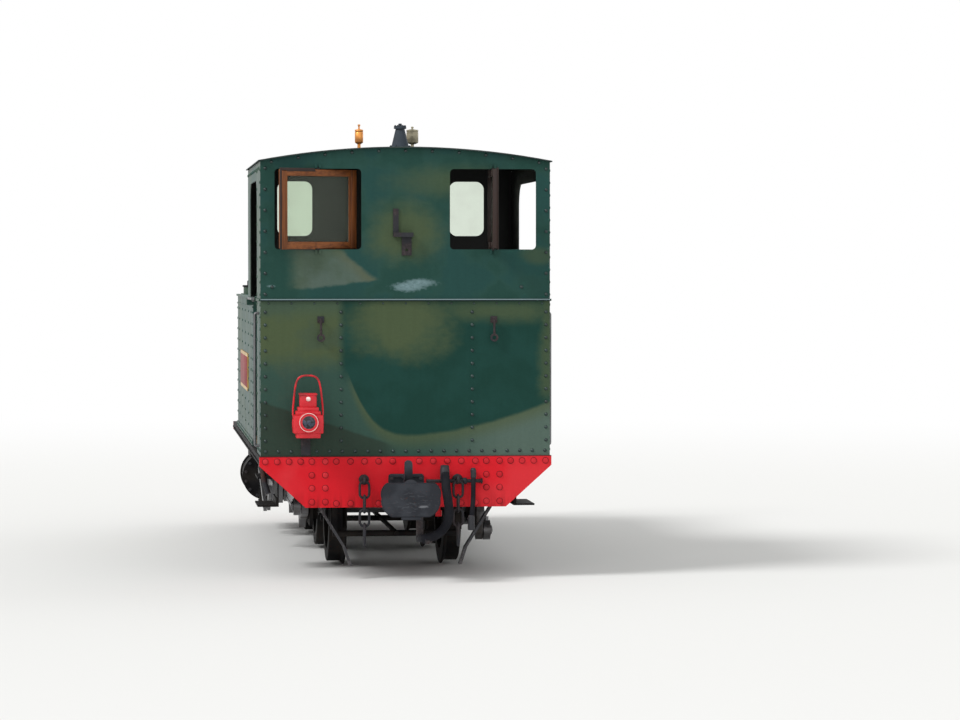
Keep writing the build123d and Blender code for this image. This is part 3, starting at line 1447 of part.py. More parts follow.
# Lamp irons, the bracket between the windows and the hooks on the cab back
hook_ys = (590, -613)
hook_eye_above_rail = 1655
hook_top_above_rail = 1788
hook_reach = 40
hook_radius = 8
hook_eye_radius = 28
hook_plate_width = 46
centre_bracket_above_rail = 2352
centre_bracket_reach = 70
centre_bracket_y = (-48, 88)
centre_bracket_upright = 38
centre_bracket_plate = 68
lamp_iron_width = 50
lamp_iron_thickness = 12
lamp_iron_height = 150
front_lamp_iron_y = 650
iron_x = cab_rear_x - seat_gap
irons = []
iron = block((iron_x - 8, iron_x), (lamp_y - 23, lamp_y + 43), (plate_top_z + 8, lamp_bottom + 120))
iron += block(
    (lamp_x[1] + seat_gap, iron_x), (lamp_y - 20, lamp_y + 20), (lamp_bottom + 20, lamp_bottom + 110)
)
irons.append(iron)
shelf_z = rail_z + centre_bracket_above_rail
centre = block(
    (iron_x - 10, iron_x), (centre_bracket_y[1] - centre_bracket_upright, centre_bracket_y[1]),
    (shelf_z, shelf_z + 196),
)
centre += block((iron_x - centre_bracket_reach, iron_x), centre_bracket_y, (shelf_z, shelf_z + 30))
plate_y = centre_bracket_y[0] + 8
centre += block((iron_x - 12, iron_x), (plate_y, plate_y + centre_bracket_plate), (shelf_z - 128, shelf_z + 2))
centre -= bar_x((iron_x - 13, iron_x + 1), plate_y + 35, shelf_z - 90, 9)
irons.append(centre)
hook_eye_z = rail_z + hook_eye_above_rail
hook_top_z = rail_z + hook_top_above_rail
hook_x = iron_x - hook_reach
half_plate = hook_plate_width / 2
for y in hook_ys:
    hook = bar_z(hook_x, y, (hook_eye_z + hook_eye_radius - 8, hook_top_z), hook_radius)
    hook += bar_x((hook_x - 7, hook_x + 7), y, hook_eye_z, hook_eye_radius)
    hook -= bar_x((hook_x - 8, hook_x + 8), y, hook_eye_z, hook_eye_radius - 14)
    hook += bar_x((hook_x, iron_x), y, hook_top_z - hook_radius, hook_radius - 1)
    hook += bar_x((hook_x, iron_x), y, hook_eye_z - hook_eye_radius + 7, hook_radius - 2)
    hook += block((iron_x - 6, iron_x), (y - half_plate, y + half_plate), (hook_top_z - 30, hook_top_z + 15))
    irons.append(hook)
iron_half = lamp_iron_width / 2
smokebox_top = boiler_z + smokebox_radius
front_iron = block(
    (smokebox_front_x - 48 - lamp_iron_thickness, smokebox_front_x - 48), (-iron_half, iron_half),
    (smokebox_top - 4, smokebox_top + 130),
)
irons.append(front_iron - bar_x((smokebox_rear_x, smokebox_front_x), 0, boiler_z, smokebox_radius + seat_gap))
for y in (front_lamp_iron_y, -front_lamp_iron_y):
    irons.append(block(
        (beam_x - 188 - lamp_iron_thickness, beam_x - 188), (y - iron_half, y + iron_half),
        (plate_top_z + seat_gap, plate_top_z + lamp_iron_height),
    ))
save("lamp_irons", *irons)


# Brake hose and thinner heating pipe at each beam, and the bracket with the plug
# that holds the brake hose's end under the beam

def beam_hoses():
    """The two hoses of the front beam and the plug bracket."""
    out = beam_x + 104
    brake = tube(
        [
            (beam_x + seat_gap, -262, 764), (out - 18, -262, 764), (out, -268, 650), (out + 6, -286, 540),
            (out + 6, -294, 440), (out - 2, -252, 350), (out - 14, -182, 300), (out - 30, -104, 286),
        ],
        hose_radius,
    )
    heating = tube(
        [
            (beam_x + seat_gap, -463, 756), (out - 40, -463, 756), (out - 32, -462, 640), (out - 32, -460, 524),
            (out - 34, -448, 420),
        ],
        heating_hose_radius,
    )
    heating += bar_z(out - 34, -447, (348, 448), heating_end_radius)
    bracket = block((beam_inner_x, beam_x), (-120, -72), (258, beam_bottom_z - seat_gap))
    bracket += bar_x((beam_x - 1, out - 50), -96, 286, 20)
    return [brake, heating, bracket]


hoses = beam_hoses()
save("hoses", *hoses, *[mirror(piece, about=Plane.YZ) for piece in hoses])

# Injector overflow pipe that hangs below the running plate at the rear left corner
overflow_from_rear = 300
overflow_inset = 34
overflow_drop = 260
overflow_radius = 19
pipe_x = -beam_x + overflow_from_rear
pipe_y = half_beam - overflow_inset
overflow = tube(
    [
        (pipe_x, pipe_y, plate_bottom_z - seat_gap), (pipe_x, pipe_y, plate_bottom_z - 100),
        (pipe_x - 10, pipe_y - 16, plate_bottom_z - 190),
        (pipe_x - 26, pipe_y - 38, plate_bottom_z - overflow_drop),
    ],
    overflow_radius,
)
save("overflow_pipe", overflow)


# Window sashes in wooden frames and the glass of all windows
sash_rail = 40
sash_thickness = 32
sash_gap = 6
sash_turns = {1: 24, -1: 87}
sash_lip = 9
sash_lip_depth = 6


def sash(width, height):
    """An upright wooden frame about the origin, with a bare opening."""
    half = width / 2
    rail = sash_rail
    up = height / 2
    frame = block((-sash_thickness / 2, sash_thickness / 2), (-half, half), (-up, up))
    lip_x = (-sash_thickness / 2 - sash_lip_depth, -sash_thickness / 2 + 1)
    lip = block(lip_x, (12, half + sash_lip), (-up - sash_lip, up + sash_lip))
    frame += lip + Rot(0, 0, 180) * lip
    opening = block((-sash_thickness, sash_thickness), (-half + rail, half - rail), (-up + rail, up - rail))
    return frame - opening


sashes = []
panes = []
sash_width = rear_window_width - 2 * sash_gap
sash_height = rear_window_height - 2 * sash_gap
sash_x = cab_rear_x + sheet_thickness / 2
for side in (1, -1):
    place = Pos(sash_x, side * rear_window_centre_y, sum(rear_window_z) / 2) * Rot(0, 0, sash_turns[side])
    frame = sash(sash_width, sash_height)
    for end in (-1, 1):
        pivot_z = sorted((end * (sash_height / 2 - 1), end * (rear_window_height / 2 - seat_gap)))
        frame += bar_z(0, 0, pivot_z, 7)
    sashes.append(place * frame)
    pane = block(
        (-3, 3),
        (-sash_width / 2 + sash_rail + seat_gap, sash_width / 2 - sash_rail - seat_gap),
        (-sash_height / 2 + sash_rail + seat_gap, sash_height / 2 - sash_rail - seat_gap),
    )
    panes.append(place * pane)
    across = sorted((side * (front_window_y[0] + seat_gap), side * (front_window_y[1] - seat_gap)))
    glass_z = (front_window_z[0] + seat_gap, front_window_z[1] - seat_gap)
    panes.append(rounded("x", (front_x[0] + 1, front_x[1] - 1), across, glass_z, front_window_corner))
save("window_sashes", *sashes)
save("window_glass", *panes)
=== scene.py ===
"""Finishes and small pieces of a narrow-gauge side-tank steam locomotive, in metres.

+X is forward, +Y the left side, +Z up, and z = 0 is the floor under the wheel flanges.
"""

import math

import bpy
from mathutils import Matrix, Vector


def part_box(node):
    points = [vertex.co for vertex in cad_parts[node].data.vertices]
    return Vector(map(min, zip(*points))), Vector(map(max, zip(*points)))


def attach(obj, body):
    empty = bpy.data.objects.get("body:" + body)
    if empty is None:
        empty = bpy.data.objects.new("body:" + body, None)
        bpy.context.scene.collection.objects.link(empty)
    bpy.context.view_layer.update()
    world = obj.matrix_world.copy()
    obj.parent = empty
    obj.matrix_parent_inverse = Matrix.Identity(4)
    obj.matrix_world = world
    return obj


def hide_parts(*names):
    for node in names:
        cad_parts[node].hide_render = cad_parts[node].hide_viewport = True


bl_info = {
    "name": "Tank engine finishes",
    "version": (1, 0, 0),
    "blender": (4, 5, 0),
    "location": "3D View > Sidebar > Engine",
    "description": "Paint, rivets, lamp, sashes, chains and hoses of a narrow-gauge tank engine",
    "category": "Object",
}

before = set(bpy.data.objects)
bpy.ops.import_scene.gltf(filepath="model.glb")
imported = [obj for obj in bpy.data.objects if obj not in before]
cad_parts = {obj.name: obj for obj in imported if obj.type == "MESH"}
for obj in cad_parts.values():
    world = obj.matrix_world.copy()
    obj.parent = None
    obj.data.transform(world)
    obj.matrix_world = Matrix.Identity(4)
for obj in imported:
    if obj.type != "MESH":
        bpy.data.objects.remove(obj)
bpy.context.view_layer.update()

BODY = "locomotive"
LUG_REACH = 0.016
BEAM_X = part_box("running_plate")[1].x + 0.0283
SHEET_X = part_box("cab_rear_sheet")[0].x + LUG_REACH
HALF_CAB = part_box("cab_rear_sheet")[1].y
PLATE_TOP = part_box("running_plate")[1].z
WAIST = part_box("coal_bunker")[1].z
RAIL = 0.025
BOILER_Z = RAIL + 1.48
AXLE_Z = RAIL + 0.419


def tone(red, green, blue):
    """A linear colour from the 0 to 255 values of a screen colour."""
    shares = [value / 255 for value in (red, green, blue)]
    return tuple(s / 12.92 if s <= 0.04045 else ((s + 0.055) / 1.055) ** 2.4 for s in shares)


def colour_property(name, description, default):
    """A colour that a user can change."""
    return bpy.props.FloatVectorProperty(
        name=name, description=description, default=default, size=3, min=0, max=1, subtype="COLOR"
    )


def length_property(name, description, default):
    """A length that a user can change."""
    return bpy.props.FloatProperty(
        name=name, description=description, default=default, min=0, subtype="DISTANCE", unit="LENGTH"
    )


class EngineColours(bpy.types.PropertyGroup):
    """The colours of the engine's finishes."""

    green: colour_property("Green", "Dark blue-green of the cab, tanks and boiler", tone(31, 66, 60))
    green_deep: colour_property("Deep green", "Where the paint has kept its full colour", tone(25, 58, 51))
    olive: colour_property("Olive", "Where the green has faded to brown", tone(74, 86, 60))
    haze: colour_property("Haze", "Grey-green bloom on worn paint", tone(72, 90, 78))
    smear: colour_property("Smear", "Pale patch of rubbed paint", tone(128, 153, 158))
    red: colour_property("Red", "Buffer beams", tone(208, 32, 42))
    red_faded: colour_property("Faded red", "Sun-bleached red", tone(212, 58, 64))
    black: colour_property("Black", "Frames and underparts", tone(20, 20, 22))
    dust: colour_property("Dust", "Dust and brake dirt", tone(88, 80, 70))
    rust: colour_property("Rust", "Rust on bare iron", tone(104, 58, 36))
    iron: colour_property("Iron", "Bare worn iron", tone(50, 51, 55))
    steel: colour_property("Steel", "Machined steel", tone(120, 120, 122))
    wood: colour_property("Wood", "Varnished sash wood", tone(130, 76, 38))
    wood_dark: colour_property("Dark wood", "Darker grain and stained wood", tone(82, 44, 24))
    boards: colour_property("Boards", "Cab floor boards", tone(112, 92, 70))
    brass: colour_property("Brass", "Polished brass", tone(206, 168, 92))
    # Painted shade: the near-black that stands for the shade inside the cab, on the sheets' inner faces and
    # under the roof.
    interior_shade: colour_property("Interior", "Inside of the cab's sheets and roof", tone(30, 31, 29))
    rubber: colour_property("Rubber", "Hose rubber", tone(27, 28, 33))
    floor: colour_property("Floor", "Studio floor", tone(226, 226, 224))


class EngineSizes(bpy.types.PropertyGroup):
    """Sizes of the small pieces."""

    cab_rivet: length_property("Cab rivet", "Radius of a rivet head on the cab", 0.0125)
    beam_rivet: length_property("Beam rivet", "Radius of a rivet head on the beams", 0.021)
    tank_rivet: length_property("Tank rivet", "Radius of a rivet head on the tanks", 0.011)
    lens: length_property("Lens", "Radius of the tail lamp's lens", 0.0595)
    sash_member: length_property("Sash member", "Width of a sash's wooden members", 0.046)
    chain_bar: length_property("Chain bar", "Diameter of the chain's bar", 0.018)
    hose: length_property("Hose", "Diameter of the brake hose", 0.063)
    camera_distance: length_property("Camera distance", "From the camera to the rear beam", 24.045)
    camera_side: length_property("Camera side", "Camera to the left of the centreline", 1.956)
    camera_height: length_property("Camera height", "Camera above the rail", 2.138)


class Value:
    """A node's output. Arithmetic on it adds Math nodes."""

    def __init__(self, tree, socket):
        self.tree = tree
        self.socket = socket

    def math(self, operation, *values):
        return add_node(self.tree, "ShaderNodeMath", {"operation": operation}, dict(enumerate(values)))

    def __add__(self, other):
        return self.math("ADD", self, other)

    def __radd__(self, other):
        return self.math("ADD", other, self)

    def __sub__(self, other):
        return self.math("SUBTRACT", self, other)

    def __rsub__(self, other):
        return self.math("SUBTRACT", other, self)

    def __mul__(self, other):
        return self.math("MULTIPLY", self, other)

    def __rmul__(self, other):
        return self.math("MULTIPLY", other, self)

    def __truediv__(self, other):
        return self.math("DIVIDE", self, other)

    def __pow__(self, other):
        return self.math("POWER", self, other)

    def above(self, low, high):
        """0 below low, 1 above high, smooth between."""
        smooth = {"interpolation_type": "SMOOTHSTEP"}
        values = {"Value": self, "From Min": low, "From Max": high}
        return add_node(self.tree, "ShaderNodeMapRange", smooth, values, "Result")

    def either(self, other):
        return self.math("MAXIMUM", self, other)


def join(tree, value, target):
    """Sets a socket to a value or links it to a node's output."""
    if isinstance(value, Value):
        tree.links.new(value.socket, target)
    elif isinstance(value, (int, float)):
        target.default_value = value
    else:
        value = tuple(value)
        target.default_value = value if len(value) == len(target.default_value) else (*value, 1)


def find_socket(sockets, key):
    """The socket with that number, identifier or name."""
    if isinstance(key, str):
        for found in sockets:
            if found.identifier == key:
                return found
    return sockets[key]


def add_node(tree, kind, settings=None, values=None, output=0):
    """Adds a node, its settings first and then its sockets, and returns one output."""
    node = tree.nodes.new(kind)
    for key, value in (settings or {}).items():
        setattr(node, key, value)
    for key, value in (values or {}).items():
        join(tree, value, find_socket(node.inputs, key))
    return Value(tree, find_socket(node.outputs, output))


class Finish:
    """A material under construction."""

    def __init__(self, name):
        self.material = bpy.data.materials.new(name)
        self.material.use_nodes = True
        self.tree = self.material.node_tree
        self.tree.nodes.clear()
        self.place = self.node("ShaderNodeTexCoord", output="Object")
        self.x, self.y, self.z = self.split(self.place)

    def node(self, kind, settings=None, values=None, output=0):
        return add_node(self.tree, kind, settings, values, output)

    def split(self, vector):
        """The X, Y and Z of a vector."""
        first = self.node("ShaderNodeSeparateXYZ", None, {0: vector})
        return [Value(self.tree, out) for out in first.socket.node.outputs]

    def noise(self, scale, detail=3, stretch=(1, 1, 1), shift=(0, 0, 0), rough=0.5, distortion=0):
        """Noise from 0 to 1, with its coordinates stretched and shifted."""
        placing = {"Vector": self.place, "Location": shift, "Scale": stretch}
        moved = self.node("ShaderNodeMapping", None, placing)
        return self.node(
            "ShaderNodeTexNoise", None,
            {"Vector": moved, "Scale": scale, "Detail": detail, "Roughness": rough, "Distortion": distortion},
        )

    def mix(self, share, first, second):
        """One colour over another."""
        return self.node(
            "ShaderNodeMix", {"data_type": "RGBA"},
            {"Factor_Float": share, "A_Color": first, "B_Color": second}, "Result_Color",
        )

    def shade(self, colour, factor):
        """A colour made lighter or darker by a factor."""
        grey = self.node("ShaderNodeCombineColor", None, {"Red": factor, "Green": factor, "Blue": factor})
        return self.node(
            "ShaderNodeMix", {"data_type": "RGBA", "blend_type": "MULTIPLY"},
            {"Factor_Float": 1.0, "A_Color": colour, "B_Color": grey}, "Result_Color",
        )

    def spot(self, centre, reach, wobble=None, edge=0.5):
        """A soft patch: 1 inside a stretched ball, 0 outside."""
        terms = None
        for axis, mid, half in zip((self.x, self.y, self.z), centre, reach):
            if half:
                term = ((axis - mid) / half) ** 2
                terms = term if terms is None else terms + term
        distance = terms ** 0.5
        if wobble is not None:
            distance = distance + wobble
        return 1 - distance.above(1 - edge, 1 + edge)

    def below(self, start, end, soft, wobble=None):
        """1 below a line between two (Y, Z) points, the first on the left from behind, and 0 above it."""
        (start_y, start_z), (end_y, end_z) = start, end
        length = math.hypot(end_y - start_y, end_z - start_z)
        across, up = (start_z - end_z) / length, (end_y - start_y) / length
        depth = (self.y - start_y) * across + (self.z - start_z) * up
        if wobble is not None:
            depth = depth + wobble
        return depth.above(-soft, soft)

    def bump(self, height, distance, strength=1.0, normal=None):
        values = {"Height": height, "Distance": distance, "Strength": strength}
        if normal is not None:
            values["Normal"] = normal
        return self.node("ShaderNodeBump", None, values, "Normal")

    def surface(self, colour, roughness, metallic=0.0, normal=None, sheen=0.06, **fixed):
        """Ends the material with its surface shader."""
        values = {
            "Base Color": colour, "Roughness": roughness, "Metallic": metallic, "Specular IOR Level": sheen,
        }
        if normal is not None:
            values["Normal"] = normal
        for key, value in fixed.items():
            values[key.replace("_", " ").title().replace("Ior", "IOR")] = value
        shader = self.node("ShaderNodeBsdfPrincipled", None, values, "BSDF")
        return self.output(shader)

    def output(self, shader):
        end = self.tree.nodes.new("ShaderNodeOutputMaterial")
        join(self.tree, shader, end.inputs["Surface"])
        return self.material


def dusty(look, colour, dust, low=0.2, high=1.3, amount=0.5):
    """Dust that settles on the lower parts of the engine."""
    patch = look.noise(5.0, 5, (1, 1, 1.4), (3, 1, 0))
    share = (1 - look.z.above(low, high)) * patch.above(0.38, 0.7) * amount
    return look.mix(share, colour, dust)


def worn_green(name, colours, patches=0.5, inside=False):
    """Green paint with faded clouds and run marks; the inner faces of the cab's sheets get a painted shade of
    near-black.
    """
    look = Finish(name)
    cloud = look.noise(1.1, 3, (1, 1, 1.3), (2, 5, 1))
    smudge = look.noise(3.2, 4, (1, 1, 1.8), (7, 0, 2))
    runs = look.noise(5.0, 4, (4, 4, 0.35))
    fine = look.noise(60, 2)
    colour = look.mix((cloud * 0.7 + smudge * 0.3).above(0.42, 0.66) * patches, colours.green, colours.olive)
    colour = look.mix(smudge.above(0.56, 0.72) * 0.25, colour, colours.haze)
    colour = look.shade(colour, 0.9 + runs * 0.16 + fine * 0.08)
    colour = dusty(look, colour, colours.dust, 0.8, 1.5, 0.25)
    # Painted shade: the inner faces of the cab's sheets are coloured near-black for the shade inside the cab.
    if inside:
        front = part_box("cab_front_sheet")[1].x
        behind_side = (HALF_CAB - look.y.math("ABSOLUTE", look.y)).above(0.002, 0.004)
        within = behind_side * (front - look.x).above(0.002, 0.004)
        colour = look.mix(within, colour, look.shade(colours.interior_shade, 0.7 + cloud * 0.6))
    rough = 0.36 + smudge * 0.22
    waves = look.noise(2.4, 1, (1, 1, 1))
    normal = look.bump(waves, 0.004, 0.5, look.bump(fine, 0.0006, 0.5))
    return look.surface(colour, rough, 0.0, normal, 0.2)


def rear_sheet_green(colours):
    """The cab's back: deep green, with the faded and rubbed areas of its two panels, a painted highlight and
    shadow on the moulding, and painted shade on the inner face.
    """
    look = Finish("rear_sheet_green")
    drift = look.noise(3.4, 4, (1, 1, 1.1), (1, 4, 2))
    ragged = look.noise(15, 4, (1, 1, 1.5), (2, 2, 5))
    crumbs = look.noise(40, 4, (1, 1, 1.6), (4, 2, 5), 0.65)
    runs = look.noise(6.0, 4, (1, 5, 0.3))
    wobble = (drift - 0.5) * 1.0 + (ragged - 0.5) * 0.5
    shift = (drift - 0.5) * 0.05 + (ragged - 0.5) * 0.03

    above_waist = look.z.above(WAIST - 0.004, WAIST + 0.004)
    lower = lower_panel(look, colours, drift, wobble, shift)
    upper = upper_panel(look, colours, drift, crumbs, wobble, shift)
    colour = look.mix(above_waist, lower, upper)
    colour = look.shade(colour, 0.84 + runs * 0.14 + crumbs * 0.18)
    proud = 1 - look.x.above(SHEET_X - 0.005, SHEET_X - 0.003)
    moulding = proud * (1 - (look.z - WAIST).math("ABSOLUTE", look.z - WAIST).above(0.016, 0.02))
    # Painted highlight and shadow: the moulding's upper part is pale where light catches its top, and its
    # lower part is dark where it is shaded.
    moulding_highlit = look.z.above(WAIST - 0.009, WAIST - 0.006)
    moulding_highlight_and_shadow = look.mix(moulding_highlit, tone(20, 32, 32), tone(116, 134, 138))
    colour = look.mix(moulding, colour, moulding_highlight_and_shadow)
    # Painted shade: the sheet's inner face is coloured near-black for the shade inside the cab.
    inside = look.x.above(SHEET_X + 0.003, SHEET_X + 0.006)
    colour = look.mix(inside, colour, colours.interior_shade)
    waves = look.noise(1.9, 1, (1, 1, 1), (0, 2, 1))
    normal = look.bump(waves, 0.005, 0.5, look.bump(crumbs, 0.0006, 0.5))
    return look.surface(colour, 0.4 + drift * 0.22, 0.0, normal)


def upper_panel(look, colours, drift, crumbs, wobble, shift):
    """Colour of the sheet between the windows and above the moulding."""
    cloudy = look.mix(drift.above(0.44, 0.58), tone(41, 72, 70), tone(50, 78, 70))
    colour = look.mix(drift.above(0.5, 0.62) * 0.4, look.mix(0.5, cloudy, colours.green), colours.green_deep)
    olive = look.spot((0, 0.0, 2.41), (0, 0.22, 0.2), wobble, 0.6) * 0.85
    olive = olive.either(look.spot((0, -0.32, 2.76), (0, 0.34, 0.1), wobble, 0.75) * 0.6)
    olive = olive.either(look.spot((0, -0.93, 2.25), (0, 0.1, 0.05), wobble, 0.6) * 0.5)
    colour = look.mix(olive, colour, colours.olive)
    lower_limit = 1 - look.below((0.81, 2.005), (0.2, 2.085), 0.014, shift)
    left_limit = 1 - (look.y + shift * 2).above(0.72, 0.86)
    right_limit = look.below((0.46, 2.29), (0.185, 2.07), 0.018, shift * 0.9)
    wedge = right_limit * lower_limit * left_limit * (1 - look.z.above(2.26, 2.34))
    faded = look.mix(drift.above(0.4, 0.6), tone(84, 99, 90), tone(74, 88, 74))
    colour = look.mix(wedge * 0.9, colour, faded)
    rim = wedge * (1 - look.below((0.5, 2.29), (0.27, 2.07), 0.06, shift * 2)) * 0.5
    colour = look.mix(rim, colour, tone(84, 86, 58))
    worn = wobble + (crumbs - 0.5) * 1.3
    smear = look.spot((0, -0.01, 2.034), (0, 0.115, 0.034), worn, 0.35)
    smear = smear.either(look.spot((0, -0.09, 2.06), (0, 0.11, 0.028), worn, 0.4))
    smear = smear.either(look.spot((0, 0.93, 2.036), (0, 0.028, 0.009), worn * 0.6, 0.5) * 0.7)
    return look.mix(smear * (0.2 + crumbs * 0.8), colour, colours.smear)


def lower_panel(look, colours, drift, wobble, shift):
    """Colour of the sheet below the moulding: a dark bowl with an olive bay over it and haze round it."""
    colour = look.mix(drift.above(0.42, 0.64) * 0.6, colours.green_deep, colours.green)
    left_side = look.y.above(0.41, 0.49)
    green_haze = look.mix(0.6, colours.haze, colours.green)
    weathered = look.mix((look.z + shift * 3).above(1.4, 1.6), green_haze, colours.olive)
    bloom = look.mix(0.4, colours.haze, colours.green)
    weathered = look.mix(look.z.above(1.78, 1.92) * 0.5, weathered, bloom)
    mottle = look.mix(0.5, colours.haze, tone(52, 66, 54))
    weathered = look.mix(drift.above(0.5, 0.62) * 0.45, weathered, mottle)
    colour = look.mix(left_side * 0.95, colour, weathered)
    bay = look.spot((0, 0.05, 1.76), (0, 0.32, 0.22), wobble, 0.5) * 0.9
    right_top = look.spot((0, -0.68, 1.865), (0, 0.36, 0.07), wobble, 0.7) * 0.7
    right_side = (0 - look.y + shift * 2).above(0.9, 0.99) * look.z.above(1.2, 1.34) * 0.65
    colour = look.mix(bay.either(right_top).either(right_side), colour, colours.olive)

    offset = look.y + 0.062
    leftward = offset.math("MAXIMUM", offset, 0)
    rightward = offset.math("MAXIMUM", 0 - offset, 0)
    arc = 0.998 + leftward**3 * 4.4 + rightward * 0.081 + rightward**2 * 0.178
    outside = 1 - (look.z - arc + shift * 0.4).above(-0.016, 0.018)
    rim = 1 - (arc - look.z).above(0.0, 0.13)
    pale = (0 - look.y).above(0.05, 0.75)
    haze = look.mix(pale, green_haze, look.mix(0.7, colours.haze, tone(84, 102, 94)))
    haze = look.mix(rim * (1 - look.z.above(1.2, 1.5)) * 0.7, haze, colours.olive)
    outside = outside * (1 - look.y.above(0.46, 0.62)) * (1 - look.z.above(1.32, 1.5))
    colour = look.mix(outside, colour, haze)
    corner = look.below((0.96, 1.225), (0.103, 0.938), 0.012, shift * 0.3) * look.y.above(0.02, 0.2)
    return look.mix(corner * 0.9, colour, tone(46, 59, 50))


def beam_red(colours):
    """Bright red beam paint, a little bleached, with streaks of dirt low down and near the top, and a painted
    shadow under the running plate's edge.
    """
    look = Finish("beam_red")
    cloud = look.noise(2.3, 4)
    fine = look.noise(70, 2)
    streak = look.noise(9, 4, (1, 3, 0.4))
    colour = look.mix(cloud.above(0.42, 0.66) * 0.6, colours.red, colours.red_faded)
    dirt = (1 - look.z.above(0.5, 0.64)) * streak.above(0.4, 0.7) * 0.5
    colour = look.mix(dirt, colour, tone(84, 30, 28))
    grime = look.z.above(0.83, 0.86) * streak.above(0.45, 0.7) * 0.3
    colour = look.mix(grime, colour, tone(120, 40, 36))
    # Painted shadow: a dark band along the beam's top, where the running plate's edge shades it.
    edge = look.z.above(PLATE_TOP - 0.006, PLATE_TOP - 0.003) * 0.8
    colour = look.mix(edge, colour, tone(58, 22, 28))
    colour = look.shade(colour, 0.92 + fine * 0.1)
    normal = look.bump(fine, 0.0005, 0.5)
    return look.surface(colour, 0.36 + cloud * 0.16, 0.0, normal)


def black_paint(name, colours, amount=0.2, gloss=0.5, tint=None):
    """Black or dark paint with a little dust, worn lighter in clouds."""
    look = Finish(name)
    cloud = look.noise(4.2, 5)
    fine = look.noise(48, 3)
    base = tint or colours.black
    colour = look.mix(cloud.above(0.45, 0.7) * 0.4, base, tone(48, 47, 47))
    colour = dusty(look, colour, colours.dust, 0.25, 1.1, amount)
    colour = look.mix(fine.above(0.66, 0.74) * 0.25, colour, look.shade(colours.rust, 0.6))
    normal = look.bump(fine, 0.0008, 0.6)
    return look.surface(colour, gloss + cloud * 0.2, 0.0, normal)


def roof_paint(colours):
    """The roof's dark grey-green sheet, with a painted shade of near-black on its downward faces."""
    look = Finish("roof_paint")
    cloud = look.noise(3.2, 5)
    fine = look.noise(48, 3)
    _, _, up = look.split(look.node("ShaderNodeNewGeometry", output="Normal"))
    colour = look.mix(cloud.above(0.42, 0.68) * 0.6, tone(50, 60, 59), tone(72, 82, 80))
    colour = look.mix(fine.above(0.6, 0.72) * 0.3, colour, tone(92, 96, 90))
    # Painted shade: faces that point down, under the roof, are coloured near-black.
    colour = look.mix(up.above(-0.2, 0.0), colours.interior_shade, colour)
    return look.surface(colour, 0.55 + cloud * 0.2, 0.0, look.bump(fine, 0.0008, 0.6))


def worn_iron(name, colours, rusty=0.25, wear=0.25, sheen=0.3):
    """Forged iron: dark, with rust in clouds and rubbed brighter places."""
    look = Finish(name)
    cloud = look.noise(7.5, 5)
    fine = look.noise(60, 4)
    colour = look.mix(cloud.above(0.42, 0.62) * rusty, colours.iron, look.shade(colours.rust, 0.7))
    colour = look.mix((cloud * 0.5 + fine * 0.5).above(0.52, 0.62) * wear, colour, tone(98, 97, 97))
    colour = look.shade(colour, 0.7 + fine * 0.4)
    normal = look.bump(fine, 0.0012, 0.7)
    return look.surface(colour, 0.45 + cloud * 0.25, 0.2, normal, sheen)


def buffer_iron(colours):
    """The centre buffer's dark face, a little scuffed where it meets other buffers."""
    look = Finish("buffer_iron")
    cloud = look.noise(8, 5)
    fine = look.noise(55, 4)
    scuff = look.noise(26, 5, (1, 1, 2.5), (0, 0, 3))
    middle = look.spot((0, 0, 0.56), (0, 0.15, 0.08), (cloud - 0.5) * 1.2, 0.6)
    colour = look.mix(cloud.above(0.4, 0.66) * 0.45, tone(46, 48, 53), tone(68, 71, 77))
    colour = look.mix(middle * scuff.above(0.54, 0.64) * 0.18, colour, tone(100, 103, 108))
    scratch = look.spot((0, -0.085, 0.535), (0, 0.026, 0.008), (scuff - 0.5) * 2, 0.5)
    colour = look.mix(scratch * 0.35, colour, tone(160, 162, 168))
    colour = look.mix(fine.above(0.63, 0.7) * 0.2, colour, colours.rust)
    normal = look.bump(fine, 0.0009, 0.6)
    return look.surface(colour, 0.45 + cloud * 0.2, 0.15, normal)


def rivet_paint(name, dark, light, sheen=0.5):
    """Paint on rivet heads, thicker and glossier than on the sheets."""
    look = Finish(name)
    cloud = look.noise(6, 3)
    return look.surface(look.mix(cloud.above(0.4, 0.65), dark, light), 0.32 + cloud * 0.1, 0.0, None, sheen)


def machined_steel(name, colours, rough=0.3, oily=0.5):
    """Bright working steel with oil film and brushed lines along the engine."""
    look = Finish(name)
    film = look.noise(6, 5)
    lines = look.noise(30, 3, (0.2, 6, 6))
    colour = look.mix(film.above(0.4, 0.68) * oily, colours.steel, tone(62, 56, 50))
    colour = look.shade(colour, 0.86 + lines * 0.22)
    normal = look.bump(lines, 0.0004, 0.5)
    return look.surface(colour, rough + film * 0.2, 0.75, normal, 0.3)


def metal(name, bright, dull, rough=0.25, share=0.5, scale=9.0):
    """Brass or copper with tarnish."""
    look = Finish(name)
    cloud = look.noise(scale, 5)
    fine = look.noise(70, 3)
    colour = look.mix(cloud.above(0.4, 0.64) * share, bright, dull)
    colour = look.shade(colour, 0.85 + fine * 0.25)
    normal = look.bump(fine, 0.0004, 0.5)
    return look.surface(colour, rough + cloud * 0.25, 0.85, normal, 0.4)


def varnished_wood(name, colours, grain, dark=0.3, blackening=0.0):
    """Varnished wood with its grain along Y or Z, more or less darkened towards near black."""
    look = Finish(name)
    stretch = {"y": (26, 1.2, 26), "z": (26, 26, 1.2)}[grain]
    fibre = look.noise(2.4, 6, stretch, (0, 3, 1), 0.6, 0.6)
    pore = look.noise(9, 4, stretch, (5, 1, 0))
    patch = look.noise(4.5, 3)
    colour = look.mix(fibre.above(0.4, 0.66) * 0.75, colours.wood, colours.wood_dark)
    colour = look.mix((patch * 0.6 + pore * 0.4).above(0.42, 0.66) * dark, colour, tone(44, 28, 20))
    # Darkened towards near black by the given share.
    colour = look.mix(blackening, colour, tone(36, 31, 31))
    normal = look.bump(pore, 0.0006, 0.6)
    return look.surface(colour, 0.34 + patch * 0.2, 0.0, normal, 0.25)


